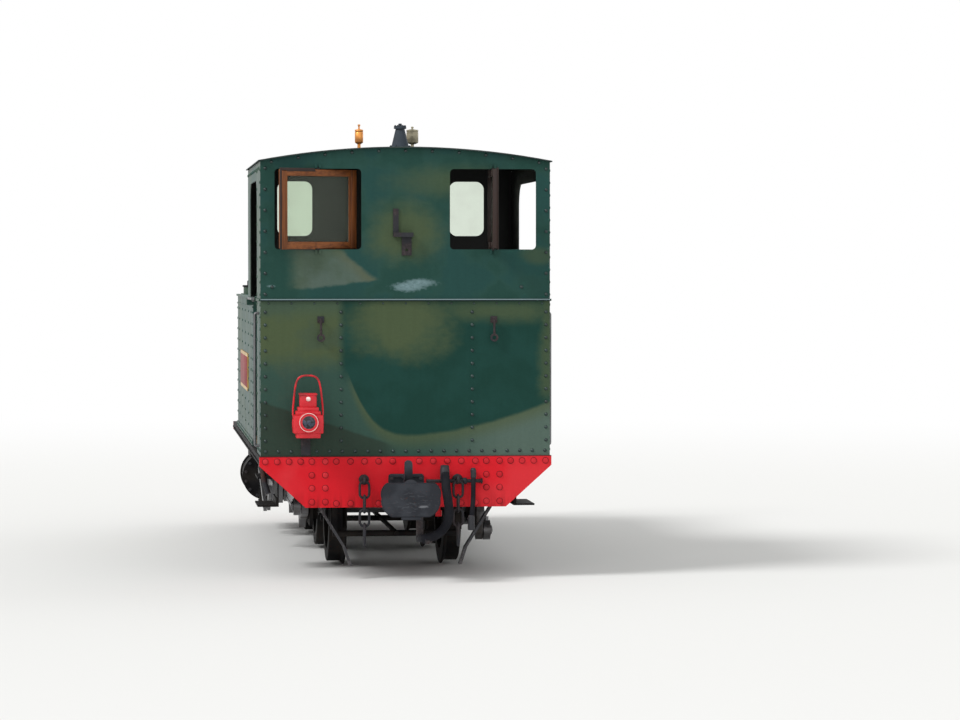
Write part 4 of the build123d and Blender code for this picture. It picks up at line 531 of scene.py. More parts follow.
def floor_boards(colours):
    """Boards across the cab with dark gaps, footworn."""
    look = Finish("floor_boards")
    pitch = 0.14
    along = (look.x / pitch).math("FRACT", look.x / pitch)
    gap = (1 - along.above(0.01, 0.05)) + along.above(0.96, 0.99)
    fibre = look.noise(3, 5, (14, 1, 14))
    patch = look.noise(4, 4)
    colour = look.mix(fibre.above(0.4, 0.65) * 0.6, colours.boards, tone(70, 56, 42))
    colour = look.mix(patch.above(0.45, 0.62) * 0.5, colour, tone(48, 44, 40))
    colour = look.mix(gap, colour, tone(18, 15, 13))
    normal = look.bump(1 - gap, 0.004, 0.8, look.bump(fibre, 0.001, 0.5))
    return look.surface(colour, 0.7 + patch * 0.15, 0.0, normal)


def hose_rubber(colours):
    """Ribbed black rubber, dusty on its bends."""
    look = Finish("hose_rubber")
    patch = look.noise(9, 5)
    fine = look.noise(110, 3)
    colour = look.mix(patch.above(0.4, 0.66) * 0.4, colours.rubber, tone(48, 48, 52))
    colour = look.mix(fine.above(0.6, 0.7) * 0.15, colour, colours.dust)
    normal = look.bump(fine, 0.0008, 0.7)
    return look.surface(colour, 0.5 + patch * 0.25, 0.0, normal)


def lamp_paint(colours):
    """The tail lamp's red, with chips and darker soot on top."""
    look = Finish("lamp_paint")
    cloud = look.noise(14, 4)
    chip = look.noise(60, 4)
    colour = look.mix(cloud.above(0.4, 0.65) * 0.45, tone(200, 30, 42), tone(212, 58, 64))
    colour = look.mix(chip.above(0.66, 0.7) * 0.8, colour, tone(70, 50, 46))
    soot = look.z.above(1.24, 1.3) * cloud.above(0.4, 0.6) * 0.5
    colour = look.mix(soot, colour, tone(60, 26, 26))
    normal = look.bump(chip, 0.0005, 0.6)
    return look.surface(colour, 0.3 + cloud * 0.2, 0.0, normal, 0.35)


def glass(name, tint, rough=0.02):
    """Clear glass with a faint film of dirt."""
    look = Finish(name)
    film = look.noise(6, 4)
    colour = look.mix(film.above(0.4, 0.7) * 0.3, tint, tone(206, 212, 200))
    roughness = rough + film.above(0.5, 0.8) * 0.06
    return look.surface(colour, roughness, 0.0, None, 0.5, transmission_weight=0.96, ior=1.12)


def lens_glass():
    """The lamp's lens: thick dark glass over an unlit bulb, with blue-grey swirls of painted reflection."""
    look = Finish("lens_glass")
    painted_reflection_swirl = look.noise(24, 3, (1, 1, 1), (2, 1, 0), 0.5, 1.5)
    # Painted reflection: blue-grey swirls over the dark glass stand for light reflected in the lens.
    colour = look.mix(painted_reflection_swirl.above(0.46, 0.62) * 0.6, tone(12, 13, 18), tone(70, 80, 102))
    return look.surface(colour, 0.1, 0.1, None, 0.5)


def wheel_iron(colours):
    """Wheel centres in dark paint, with bright treads."""
    look = Finish("wheel_iron")
    cloud = look.noise(6, 5)
    fine = look.noise(50, 3)
    colour = look.mix(cloud.above(0.42, 0.66) * 0.5, tone(24, 24, 25), tone(50, 46, 42))
    colour = look.mix(fine.above(0.62, 0.7) * 0.25, colour, look.shade(colours.rust, 0.6))
    normal = look.bump(fine, 0.001, 0.6)
    return look.surface(colour, 0.55 + cloud * 0.2, 0.1, normal)


def plate_field(colours):
    """The blank red field of a nameplate."""
    look = Finish("plate_field")
    cloud = look.noise(5, 4)
    colour = look.mix(cloud.above(0.4, 0.65) * 0.4, tone(128, 26, 28), tone(92, 22, 24))
    return look.surface(colour, 0.36 + cloud * 0.12, 0.0, look.bump(look.noise(80, 2), 0.0005, 0.5))


def backhead_metal(colours):
    """Brass fittings on the backhead and black lever and hand brake behind them."""
    look = Finish("backhead_metal")
    cloud = look.noise(9, 5)
    ahead = look.x.above(-1.16, -1.14)
    colour = look.mix(cloud.above(0.4, 0.64) * 0.5, colours.brass, tone(120, 88, 48))
    door = 1 - look.z.above(1.36, 1.38)
    dark = look.mix(cloud.above(0.4, 0.7) * 0.6, tone(40, 38, 37), tone(92, 88, 84))
    iron = (1 - ahead).either(door)
    colour = look.mix(iron, colour, dark)
    normal = look.bump(look.noise(60, 3), 0.0005, 0.5)
    return look.surface(colour, 0.3 + cloud * 0.25, 0.9 - iron * 0.5, normal)


def make_finishes(colours):
    """Every material, by name."""
    return {
        "green": worn_green("engine_green", colours, 0.4),
        "rear_green": rear_sheet_green(colours),
        "boiler_green": worn_green("boiler_green", colours, 0.2),
        "red": beam_red(colours),
        "cab_green": worn_green("cab_green", colours, 0.4, True),
        # Painted shade: the cab back's rivet heads are a much darker green than the sheet, for the shade on
        # their small domes.
        "rivet_green_shaded": rivet_paint("rivet_green_shaded", tone(16, 36, 35), tone(30, 52, 50)),
        "rivet_red": rivet_paint("rivet_red", tone(184, 26, 36), tone(200, 44, 52), 0.15),
        # Painted shade: the dark red of the rings round the beam rivets.
        "rivet_shade_ring": rivet_paint("rivet_shade_ring", tone(96, 16, 24), tone(130, 24, 32), 0.1),
        "vent": black_paint("vent_grey", colours, 0.0, 0.45, tone(66, 74, 82)),
        "frame_black": black_paint("frame_black", colours, 0.2),
        "upper_black": black_paint("smokebox_black", colours, 0.05, 0.5),
        "bunker": black_paint("bunker_black", colours, 0.0, 0.6),
        "roof": roof_paint(colours),
        "iron": worn_iron("forged_iron", colours),
        "chain": worn_iron("chain_iron", colours, 0.14, 0.08, 0.12),
        "lamp_iron": worn_iron("lamp_bracket_iron", colours, 0.18, 0.12, 0.15),
        "pipe": worn_iron("rusty_pipe", colours, 0.8, 0.1, 0.15),
        "guard": worn_iron("guard_iron", colours, 0.1, 0.6, 0.4),
        "buffer": buffer_iron(colours),
        "steel": machined_steel("machined_steel", colours),
        "axle_steel": machined_steel("axle_steel", colours, 0.45, 0.8),
        "rail_steel": machined_steel("handrail_steel", colours, 0.38, 0.35),
        "brass": metal("polished_brass", colours.brass, tone(128, 96, 52)),
        "whistle_copper": metal("whistle_copper", tone(214, 146, 78), tone(132, 82, 52), 0.3, 0.5, 22),
        "whistle_brass": metal("whistle_brass", tone(160, 154, 132), tone(98, 94, 80), 0.34, 0.6, 22),
        "lamp_rim": metal("lamp_rim", tone(232, 206, 200), tone(206, 120, 116), 0.22, 0.4, 30),
        "wood_upright": varnished_wood("sash_stile_wood", colours, "z"),
        "wood_level": varnished_wood("sash_rail_wood", colours, "y"),
        # The sashes' outer edge strips and the whole right sash are darkened towards near black.
        "wood_dark": varnished_wood("sash_edge_wood", colours, "z", 0.5, 0.92),
        "boards": floor_boards(colours),
        "rubber": hose_rubber(colours),
        "lamp": lamp_paint(colours),
        "glass": glass("window_pane", tone(222, 232, 218)),
        "lens": lens_glass(),
        "wheel": wheel_iron(colours),
        "plate": plate_field(colours),
        "backhead": backhead_metal(colours),
    }


NODE_FINISHES = {
    "rear_green": ["cab_rear_sheet"],
    "cab_green": ["cab_left_side", "cab_right_side", "cab_front_sheet"],
    "green": ["left_side_tank", "right_side_tank"],
    "boiler_green": ["boiler", "steam_dome"],
    "roof": ["cab_roof"],
    "red": ["rear_buffer_beam", "front_buffer_beam"],
    "frame_black": [
        "frame_plates", "frame_stretchers", "axleboxes", "leaf_springs", "brake_gear", "running_plate",
        "cab_steps", "cylinders", "motion_brackets",
    ],
    "upper_black": [
        "smokebox", "smokebox_door", "chimney", "left_filler_lid", "right_filler_lid",
    ],
    "chain": ["side_chains"],
    "iron": ["safety_valves"],
    "guard": ["guard_irons"],
    "bunker": ["coal_bunker"],
    "vent": ["roof_vent"],
    "lamp_iron": ["lamp_irons"],
    "buffer": ["couplers"],
    "steel": [
        "slide_bars", "crossheads", "connecting_rods", "return_cranks", "eccentric_rods", "expansion_links",
        "radius_rods", "combination_levers", "left_coupling_rod", "right_coupling_rod",
    ],
    "axle_steel": ["rear_axle", "middle_axle", "front_axle"],
    "rail_steel": ["handrails", "left_doorway_bar", "right_doorway_bar"],
    "brass": ["whistles", "nameplates"],
    "pipe": ["overflow_pipe"],
    "boards": ["cab_floor"],
    "rubber": ["hoses"],
    "lamp": ["tail_lamp"],
    "wood_upright": ["window_sashes"],
    "glass": ["window_glass"],
    "wheel": ["rear_wheels", "middle_wheels", "front_wheels"],
    "backhead": ["backhead_fittings"],
}

finishes = {}


def start_clean():
    """Leaves edit mode and deselects everything."""
    if bpy.context.object and bpy.context.object.mode != "OBJECT":
        bpy.ops.object.mode_set(mode="OBJECT")
    bpy.ops.object.select_all(action="DESELECT")


def pick(piece):
    """Makes one object the selected and active one."""
    start_clean()
    piece.select_set(True)
    bpy.context.view_layer.objects.active = piece


def settle(piece):
    """Puts a piece's place, turn and scale into its mesh."""
    pick(piece)
    bpy.ops.object.transform_apply(location=True, rotation=True, scale=True)
    return piece


def bevelled(piece, width, segments=2):
    """Rounds a piece's edges."""
    pick(piece)
    bpy.ops.object.modifier_add(type="BEVEL")
    modifier = piece.modifiers[-1]
    modifier.width = width
    modifier.segments = segments
    modifier.limit_method = "ANGLE"
    bpy.ops.object.modifier_apply(modifier=modifier.name)
    return piece


def bar(low, high, bevel=0.002):
    """A bar between two corners with rounded edges."""
    start_clean()
    low, high = Vector(low), Vector(high)
    bpy.ops.mesh.primitive_cube_add(size=1, location=(low + high) / 2, scale=high - low)
    piece = settle(bpy.context.object)
    return bevelled(piece, bevel) if bevel else piece


AXIS_TURNS = {
    "z": Matrix.Identity(4),
    "x": Matrix.Rotation(math.radians(90), 4, "Y"),
    "-x": Matrix.Rotation(math.radians(-90), 4, "Y"),
    "y": Matrix.Rotation(math.radians(-90), 4, "X"),
    "-y": Matrix.Rotation(math.radians(90), 4, "X"),
}


def turned(steps, place, axis="z", sides=32):
    """A round piece from steps of (distance along its axis, radius), the first at its place."""
    start_clean()
    first, radius = steps[0]
    bpy.ops.mesh.primitive_circle_add(vertices=sides, radius=radius, fill_type="NGON", location=(0, 0, first))
    piece = settle(bpy.context.object)
    bpy.ops.object.mode_set(mode="EDIT")
    bpy.ops.mesh.select_all(action="SELECT")
    for (here, radius), (there, wide) in zip(steps, steps[1:]):
        bpy.ops.mesh.extrude_region_move(TRANSFORM_OT_translate={"value": (0, 0, there - here)})
        ratio = wide / radius
        bpy.ops.transform.resize(value=(ratio, ratio, 1), center_override=(0, 0, there))
    bpy.ops.mesh.select_all(action="SELECT")
    bpy.ops.mesh.normals_make_consistent(inside=False)
    bpy.ops.object.mode_set(mode="OBJECT")
    piece.data.transform(Matrix.Translation(place) @ AXIS_TURNS[axis])
    return piece


def tube(points, radius, closed=False, rings=3):
    """A round tube along a smooth curve through the given control points."""
    start_clean()
    curve = bpy.data.curves.new("tube_path", "CURVE")
    curve.dimensions = "3D"
    spline = curve.splines.new("NURBS")
    spline.points.add(len(points) - 1)
    for target, point in zip(spline.points, points):
        target.co = (*point, 1)
    spline.order_u = 3
    spline.use_endpoint_u = not closed
    spline.use_cyclic_u = closed
    curve.bevel_depth = radius
    curve.bevel_resolution = rings
    curve.use_fill_caps = True
    piece = bpy.data.objects.new("tube", curve)
    bpy.context.scene.collection.objects.link(piece)
    pick(piece)
    bpy.ops.object.convert(target="MESH")
    piece = bpy.context.object
    recalculate(piece)
    return piece


def recalculate(piece):
    """Merges doubles and points all faces outwards."""
    pick(piece)
    bpy.ops.object.mode_set(mode="EDIT")
    bpy.ops.mesh.select_all(action="SELECT")
    bpy.ops.mesh.remove_doubles(threshold=0.00002)
    bpy.ops.mesh.normals_make_consistent(inside=False)
    bpy.ops.object.mode_set(mode="OBJECT")


def joined(pieces):
    """Joins several objects into one."""
    start_clean()
    for piece in pieces:
        piece.select_set(True)
    bpy.context.view_layer.objects.active = pieces[0]
    if len(pieces) > 1:
        bpy.ops.object.join()
    return bpy.context.view_layer.objects.active


def copied(pattern, places):
    """Copies a small piece to each place, a matrix, and joins the copies."""
    copies = []
    for place in places:
        copy = pattern.copy()
        copy.data = pattern.data.copy()
        copy.data.transform(place)
        bpy.context.scene.collection.objects.link(copy)
        copies.append(copy)
    bpy.data.objects.remove(pattern)
    return joined(copies)


def mirrored(piece):
    """A copy of a piece at the engine's other end, with its faces outwards."""
    copy = piece.copy()
    copy.data = piece.data.copy()
    copy.data.transform(Matrix.Diagonal((-1, 1, 1, 1)))
    copy.data.flip_normals()
    bpy.context.scene.collection.objects.link(copy)
    return copy


def both_ends(piece):
    """A piece joined with its copy at the engine's other end."""
    return joined([piece, mirrored(piece)])


def turned_set(*rows):
    """Round pieces from rows of steps, place, axis and sides."""
    return [turned(*values) for values in rows]


def move_part(piece, chosen, value):
    """Moves the vertices that a test on their place chooses."""
    pick(piece)
    bpy.ops.object.mode_set(mode="EDIT")
    bpy.ops.mesh.select_all(action="DESELECT")
    bpy.ops.object.mode_set(mode="OBJECT")
    for vertex in piece.data.vertices:
        vertex.select = chosen(vertex.co)
    bpy.ops.object.mode_set(mode="EDIT")
    bpy.ops.transform.translate(value=value)
    bpy.ops.object.mode_set(mode="OBJECT")


def dress(piece, name, finish, body=BODY, replaces=(), angle=38):
    """Names a finished piece, gives it its material and sets it on its body."""
    piece.name = name
    piece.data.name = name
    piece.data.materials.clear()
    piece.data.materials.append(finishes[finish])
    pick(piece)
    bpy.ops.object.shade_smooth_by_angle(angle=math.radians(angle))
    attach(piece, body)
    if replaces:
        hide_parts(*replaces)
    return piece


def rivet_head(radius, height, sides=10):
    """One domed rivet head that stands on its origin."""
    start_clean()
    bpy.ops.mesh.primitive_uv_sphere_add(segments=sides, ring_count=6, radius=radius)
    piece = bpy.context.object
    bpy.ops.object.mode_set(mode="EDIT")
    bpy.ops.mesh.select_all(action="SELECT")
    bpy.ops.mesh.bisect(plane_co=(0, 0, 0), plane_no=(0, 0, 1), use_fill=True, clear_inner=True)
    bpy.ops.mesh.select_all(action="SELECT")
    bpy.ops.transform.resize(value=(1, 1, height / radius), center_override=(0, 0, 0))
    bpy.ops.object.mode_set(mode="OBJECT")
    return piece


def nut(radius, height):
    """One hexagonal nut with a bolt's end, that stands on its origin."""
    steps = [(0, radius), (height, radius), (height, radius * 0.6), (height * 1.5, radius * 0.5)]
    return turned(steps, (0, 0, 0), sides=6)


def facing(point, normal):
    """The place of a piece whose own Z points along a normal."""
    turn = Vector((0, 0, 1)).rotation_difference(Vector(normal)).to_matrix().to_4x4()
    return Matrix.Translation(point) @ turn


def row(start, end, pitch):
    """Points from start to end, evenly spaced by about a pitch."""
    start, end = Vector(start), Vector(end)
    count = max(1, round((end - start).length / pitch))
    return [start.lerp(end, index / count) for index in range(count + 1)]


def line(start, end, pitch, normal):
    """Places along a line, evenly spaced by about a pitch, that face along a normal."""
    return [facing(point, normal) for point in row(start, end, pitch)]


def roof_height(y, drop):
    """The height of a line that runs below the roof's arc."""
    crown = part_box("cab_roof")[1].z
    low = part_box("cab_roof")[0].z + 0.008
    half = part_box("cab_roof")[1].y
    sagitta = crown - low
    radius = (half**2 + sagitta**2) / (2 * sagitta)
    return crown - radius + math.sqrt(radius**2 - y**2) - drop


class EngineOperator:
    """What every operator here shares."""

    bl_options = {"REGISTER", "UNDO"}


class ENGINE_OT_stage(EngineOperator, bpy.types.Operator):
    """Lays the pale floor, sets the lamps and the world, and stands the camera"""

    bl_idname = "engine.stage"
    bl_label = "Stage"

    def execute(self, context):
        sizes = context.scene.engine_sizes
        context.scene.view_settings.view_transform = "Standard"
        self.camera(context, sizes)
        self.lamps()
        self.world(context)
        self.floor(context.scene.engine_colours)
        return {"FINISHED"}

    def camera(self, context, sizes):
        """The photograph's view: from behind, a little to the left and above the middle."""
        focal_pixels = 3482.0
        frame_width = 960
        slope_right = 0.1028
        slope_down = 0.0266
        data = bpy.data.cameras.new("camera")
        data.sensor_width = 36
        data.lens = focal_pixels * data.sensor_width / frame_width
        data.clip_end = 500
        camera = bpy.data.objects.new("camera", data)
        context.scene.collection.objects.link(camera)
        camera.location = (-BEAM_X - sizes.camera_distance, sizes.camera_side, RAIL + sizes.camera_height)
        camera.rotation_mode = "QUATERNION"
        camera.rotation_quaternion = Vector((1, -slope_right, -slope_down)).to_track_quat("-Z", "Y")
        context.scene.camera = camera

    def lamps(self):
        """A soft key from the left, and weak ones from behind and from the right front."""
        for name, direction, strength, spread in (
            ("key_lamp", (0.32, -0.72, -0.76), 2.0, 20),
            ("rear_lamp", (0.85, 0.1, -0.4), 0.6, 70),
            ("front_lamp", (-0.6, 0.6, -0.5), 0.6, 60),
        ):
            data = bpy.data.lights.new(name, "SUN")
            data.energy = strength
            data.angle = math.radians(spread)
            lamp = bpy.data.objects.new(name, data)
            lamp.rotation_mode = "QUATERNION"
            lamp.rotation_quaternion = Vector(direction).to_track_quat("-Z", "Y")
            bpy.context.scene.collection.objects.link(lamp)

    def world(self, context):
        """Even light all round; white where it is looked at directly."""
        world = bpy.data.worlds.new("studio")
        context.scene.world = world
        world.use_nodes = True
        tree = world.node_tree
        tree.nodes.clear()
        rays = tree.nodes.new("ShaderNodeLightPath")
        seen = Value(tree, rays.outputs["Is Camera Ray"])
        for ray in ("Is Glossy Ray", "Is Transmission Ray"):
            seen = seen.either(Value(tree, rays.outputs[ray]))
        light = tree.nodes.new("ShaderNodeBackground")
        light.inputs["Color"].default_value = (1, 1, 1, 1)
        join(tree, 0.6 + seen * 0.4, light.inputs["Strength"])
        output = tree.nodes.new("ShaderNodeOutputWorld")
        tree.links.new(light.outputs[0], output.inputs["Surface"])

    def floor(self, colours):
        """A wide floor that turns white far from the engine."""
        start_clean()
        bpy.ops.mesh.primitive_plane_add(size=600, location=(0, 0, 0))
        floor = bpy.context.object
        floor.name = "floor"
        look = Finish("studio_floor")
        far = ((look.x**2 + look.y**2) ** 0.5).above(7, 24)
        matt = look.node("ShaderNodeBsdfDiffuse", None, {"Color": colours.floor})
        white = look.node("ShaderNodeEmission", None, {"Color": (1, 1, 1), "Strength": 1.0})
        surface = look.node("ShaderNodeMixShader", None, {0: far, 1: matt, 2: white})
        floor.data.materials.append(look.output(surface))


class ENGINE_OT_finishes(EngineOperator, bpy.types.Operator):
    """Makes the materials and gives each solid of the frame its own"""

    bl_idname = "engine.finishes"
    bl_label = "Finishes"

    def execute(self, context):
        finishes.update(make_finishes(context.scene.engine_colours))
        dressed = set()
        for finish, nodes in NODE_FINISHES.items():
            for name in nodes:
                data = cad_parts[name].data
                if not data.materials:
                    data.materials.append(None)
                for index in range(len(data.materials)):
                    data.materials[index] = finishes[finish]
                dressed.add(name)
        bare = set(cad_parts) - dressed
        if bare:
            raise RuntimeError(f"nodes without a finish: {sorted(bare)}")
        return {"FINISHED"}


class ENGINE_OT_cab_rivets(EngineOperator, bpy.types.Operator):
    """Rivets of the cab's back and sides"""

    bl_idname = "engine.cab_rivets"
    bl_label = "Cab rivets"

    def execute(self, context):
        radius = context.scene.engine_sizes.cab_rivet
        back = (-1, 0, 0)
        column_ys = (0.973, -0.979)
        seam_ys = (0.449, -0.463)
        arc_pitch = 0.186
        places = []
        for y in column_ys:
            places += line((SHEET_X, y, 1.98), (SHEET_X, y, 2.85), 0.145, back)
        for y in column_ys + seam_ys:
            places += line((SHEET_X, y, 0.966), (SHEET_X, y, 1.857), 0.0888, back)
        places += line((SHEET_X, -0.972, 0.893), (SHEET_X, 0.972, 0.893), 0.0884, back)
        under_waist = line((SHEET_X, -0.95, WAIST - 0.031), (SHEET_X, 0.95, WAIST - 0.031), 0.158, back)
        places += [place @ Matrix.Scale(0.6, 4) for place in under_waist]
        for step in range(-5, 6):
            y = step * arc_pitch
            places.append(facing((SHEET_X, y, roof_height(y, 0.028)), back))
        places += [facing((SHEET_X, y, 2.031), back) for y in (0.926, -0.806)]
        rear = copied(rivet_head(radius, radius * 0.65), places)
        # The cab back's rivet heads take the darker green of painted shade.
        dress(rear, "cab_back_rivets", "rivet_green_shaded")

        places = []
        rear_x = SHEET_X + 0.03
        post_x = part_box("left_doorway_bar")[0].x - 0.024
        for side in (1, -1):
            out = (0, side, 0)
            y = side * HALF_CAB
            for low, high in ((0.9, WAIST - 0.04), (WAIST + 0.03, 2.84)):
                places += line((rear_x, y, low), (rear_x, y, high), 0.083, out)
                places += line((post_x, y, low), (post_x, y, high), 0.12, out)
            places += line((rear_x + 0.1, y, 0.895), (post_x - 0.08, y, 0.895), 0.1, out)
            places += line((rear_x + 0.12, y, 2.855), (-0.53, y, 2.855), 0.15, out)
        sides = copied(rivet_head(radius, 0.007), places)
        dress(sides, "cab_side_rivets", "green")
        return {"FINISHED"}


class ENGINE_OT_beam_rivets(EngineOperator, bpy.types.Operator):
    """Rivets of the buffer beams, each with a dark ring of painted shade round its head"""

    bl_idname = "engine.beam_rivets"
    bl_label = "Beam rivets"

    def execute(self, context):
        radius = context.scene.engine_sizes.beam_rivet
        top_row = [0.975, 0.892, 0.81, 0.73, 0.653, 0.56, 0.484, 0.385, 0.288, 0.19, 0.092]
        columns = (0.653, 0.56)
        column_heights = (0.729, 0.639, 0.543)
        bottom_row = (0.483, 0.384, 0.19)
        points = [(y, 0.823) for y in top_row]
        points += [(y, z) for y in columns for z in column_heights]
        points += [(y, 0.532) for y in bottom_row]
        places = []
        for end in (-1, 1):
            for y, z in points:
                places += [facing((end * BEAM_X, side * y, z), (end, 0, 0)) for side in (1, -1)]
        steps = [(0, radius * 0.9), (0.005, radius * 0.9), (0.0075, radius * 0.74), (0.0085, radius * 0.4)]
        head = turned(steps, (0, 0, 0), sides=14)
        dress(copied(head, places), "beam_rivets", "rivet_red")
        # Painted shade: a thin dark red disc behind each rivet head stands for the shade round its edge.
        edge = turned([(0, radius * 1.1), (0.0012, radius * 1.08)], (0, 0, 0), sides=14)
        dress(copied(edge, places), "beam_rivet_shade_rings", "rivet_shade_ring")
        return {"FINISHED"}


class ENGINE_OT_tank_rivets(EngineOperator, bpy.types.Operator):
    """Rivet columns and rows of the side tanks"""

    bl_idname = "engine.tank_rivets"
    bl_label = "Tank rivets"

    def execute(self, context):
        radius = context.scene.engine_sizes.tank_rivet
        low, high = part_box("left_side_tank")
        plate_low, plate_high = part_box("nameplates")
        face = 1.0
        angle_face = face + 0.008
        bottom = PLATE_TOP + 0.022
        columns = (low.x + 0.04, -0.95, -0.42, 0.26, 0.89, 1.55, high.x - 0.07)
        places = []
        for side in (1, -1):
            out = (0, side, 0)
            for x in columns:
                for point in row((x, side * face, 0.98), (x, side * face, 1.835), 0.086):
                    hidden = plate_low.x < point.x < plate_high.x and plate_low.z < point.z < plate_high.z
                    if not hidden:
                        places.append(facing(point, out))
            y = side * angle_face
            places += line((low.x + 0.04, y, bottom), (high.x - 0.08, y, bottom), 0.1, out)
            for y in (0.58, 0.93):
                places += line((high.x, side * y, 0.95), (high.x, side * y, 1.86), 0.1, (1, 0, 0))
            y = side * 0.965
            places += line((low.x + 0.05, y, WAIST), (high.x - 0.07, y, WAIST), 0.13, (0, 0, 1))
        dress(copied(rivet_head(radius, 0.006), places), "tank_rivets", "green")
        return {"FINISHED"}


class ENGINE_OT_smokebox_rivets(EngineOperator, bpy.types.Operator):
    """Rivets round the smokebox, its saddle and the valances"""

    bl_idname = "engine.smokebox_rivets"
    bl_label = "Smokebox rivets"

    def execute(self, context):
        low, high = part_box("smokebox")
        front = high.x - 0.039
        wrapper = 0.52
        count = 44
        saddle_angle = math.radians(46)
        places = []
        for index in range(count):
            angle = 2 * math.pi * index / count
            out = Vector((0, math.sin(angle), math.cos(angle)))
            middle = Vector((front, 0, BOILER_Z))
            places.append(facing(middle + out * (wrapper - 0.023), (1, 0, 0)))
            if abs(angle - math.pi) > saddle_angle:
                for x in (low.x + 0.03, front - 0.035):
                    places.append(facing(Vector((x, 0, BOILER_Z)) + out * wrapper, out))
        for side in (1, -1):
            y = side * 0.38
            for x in (low.x + 0.115, front - 0.115):
                places += line((x, y, PLATE_TOP + 0.05), (x, y, 1.12), 0.075, (0, side, 0))
        dress(copied(rivet_head(0.012, 0.007), places), "smokebox_rivets", "upper_black")

        places = []
        half_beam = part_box("running_plate")[1].y
        for side in (1, -1):
            y = side * half_beam
            places += line((-2.74, y, 0.82), (2.74, y, 0.82), 0.145, (0, side, 0))
        dress(copied(rivet_head(0.01, 0.006), places), "valance_rivets", "frame_black")
        return {"FINISHED"}


class ENGINE_OT_nuts(EngineOperator, bpy.types.Operator):
    """Nuts of the cylinders, crank pins, brackets and centre buffers"""

    bl_idname = "engine.nuts"
    bl_label = "Nuts"

    def execute(self, context):
        cylinder_y = 0.775
        cover_xs = ((1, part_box("cylinders")[1].x - 0.04), (-1, 1.852))
        cover_nuts = 14
        ring = 0.172
        frame_y = 0.625
        places = []
        for end, x in cover_xs:
            for index in range(cover_nuts):
                angle = 2 * math.pi * index / cover_nuts
                y = cylinder_y + ring * math.sin(angle)
                z = AXLE_Z + ring * math.cos(angle)
                if y > frame_y:
                    places += [facing((x, side * y, z), (end, 0, 0)) for side in (1, -1)]
        for side in (1, -1):
            for y in (0.665, 0.745, 0.825, 0.885):
                places += [facing((2.408, side * y, z), (1, 0, 0)) for z in (0.655, 0.81)]
        for end in (-1, 1):
            places += [facing((end * (BEAM_X + 0.022), y, 0.705), (end, 0, 0)) for y in (-0.1, 0.1)]
        dress(copied(nut(0.014, 0.012), places), "body_nuts", "iron")

        crank, pin_end = 0.203, 0.7304
        for body, x in (("rear_wheelset", -1.486), ("front_wheelset", 1.562)):
            places = [
                facing((x - crank, pin_end, AXLE_Z), (0, 1, 0)),
                facing((x, -pin_end, AXLE_Z - crank), (0, -1, 0)),
            ]
            dress(copied(nut(0.031, 0.01), places), f"{body}_nuts", "steel", body)
        return {"FINISHED"}


class ENGINE_OT_buffers(EngineOperator, bpy.types.Operator):
    """Small plates and pins of the centre buffers and their hooks"""

    bl_idname = "engine.buffers"
    bl_label = "Centre buffers"

    def execute(self, context):
        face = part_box("couplers")[1].x
        plates = joined([
            bar((face - 0.042, -0.064, 0.444), (face - 0.004, 0.064, 0.4645), 0.003),
            bar((BEAM_X + 0.0003, -0.115, 0.712), (BEAM_X + 0.034, 0.115, 0.736), 0.005),
            turned([(0, 0.014), (0.07, 0.014)], (BEAM_X + 0.1, -0.035, 0.712), "y", 16),
        ])
        dress(both_ends(plates), "buffer_plates", "buffer")
        return {"FINISHED"}


class ENGINE_OT_whistles(EngineOperator, bpy.types.Operator):
    """The two whistles on the cab roof, with grooved bells, and the bolts of the roof vent"""

    bl_idname = "engine.whistles"
    bl_label = "Whistles"

    def execute(self, context):
        low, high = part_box("whistles")
        x = (low.x + high.x) / 2
        spread = 0.199
        foot = low.z
        bell_low, bell_high = RAIL + 3.069, RAIL + 3.166
        for name, y, bell, top, finish, slot in (
            ("left_whistle", spread, 0.031, high.z, "whistle_copper", "copper"),
            ("right_whistle", -spread, 0.045, high.z - 0.015, "whistle_brass", "brass"),
        ):
            steps = [
                (foot, 0.028), (foot + 0.01, 0.028), (foot + 0.014, 0.013), (bell_low - 0.012, 0.012),
                (bell_low - 0.008, bell * 0.6), (bell_low, bell * 0.96), (bell_low + 0.004, bell),
                (bell_high - 0.022, bell), (bell_high - 0.02, bell * 0.95), (bell_high - 0.015, bell * 0.95),
                (bell_high - 0.013, bell), (bell_high - 0.004, bell), (bell_high, bell * 0.9),
                (bell_high + 0.003, bell * 0.4), (bell_high + 0.006, 0.006), (top - 0.014, 0.006),
                (top - 0.012, 0.01), (top - 0.003, 0.01), (top, 0.006),
            ]
            piece = turned(steps, (x, y, 0), "z", 32)
            dress(piece, name, finish, replaces=["whistles"] if y > 0 else [])

        vent_low, vent_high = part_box("roof_vent")
        vent_x = (vent_low.x + vent_high.x) / 2
        places = []
        for index in range(6):
            angle = math.radians(60 * index + 30)
            for reach, z in ((0.066, vent_low.z + 0.014), (0.034, vent_low.z + 0.156)):
                point = (vent_x + reach * math.cos(angle), reach * math.sin(angle), z)
                places.append(Matrix.Translation(point))
        dress(copied(nut(0.0085, 0.008), places), "vent_bolts", "vent")
        return {"FINISHED"}


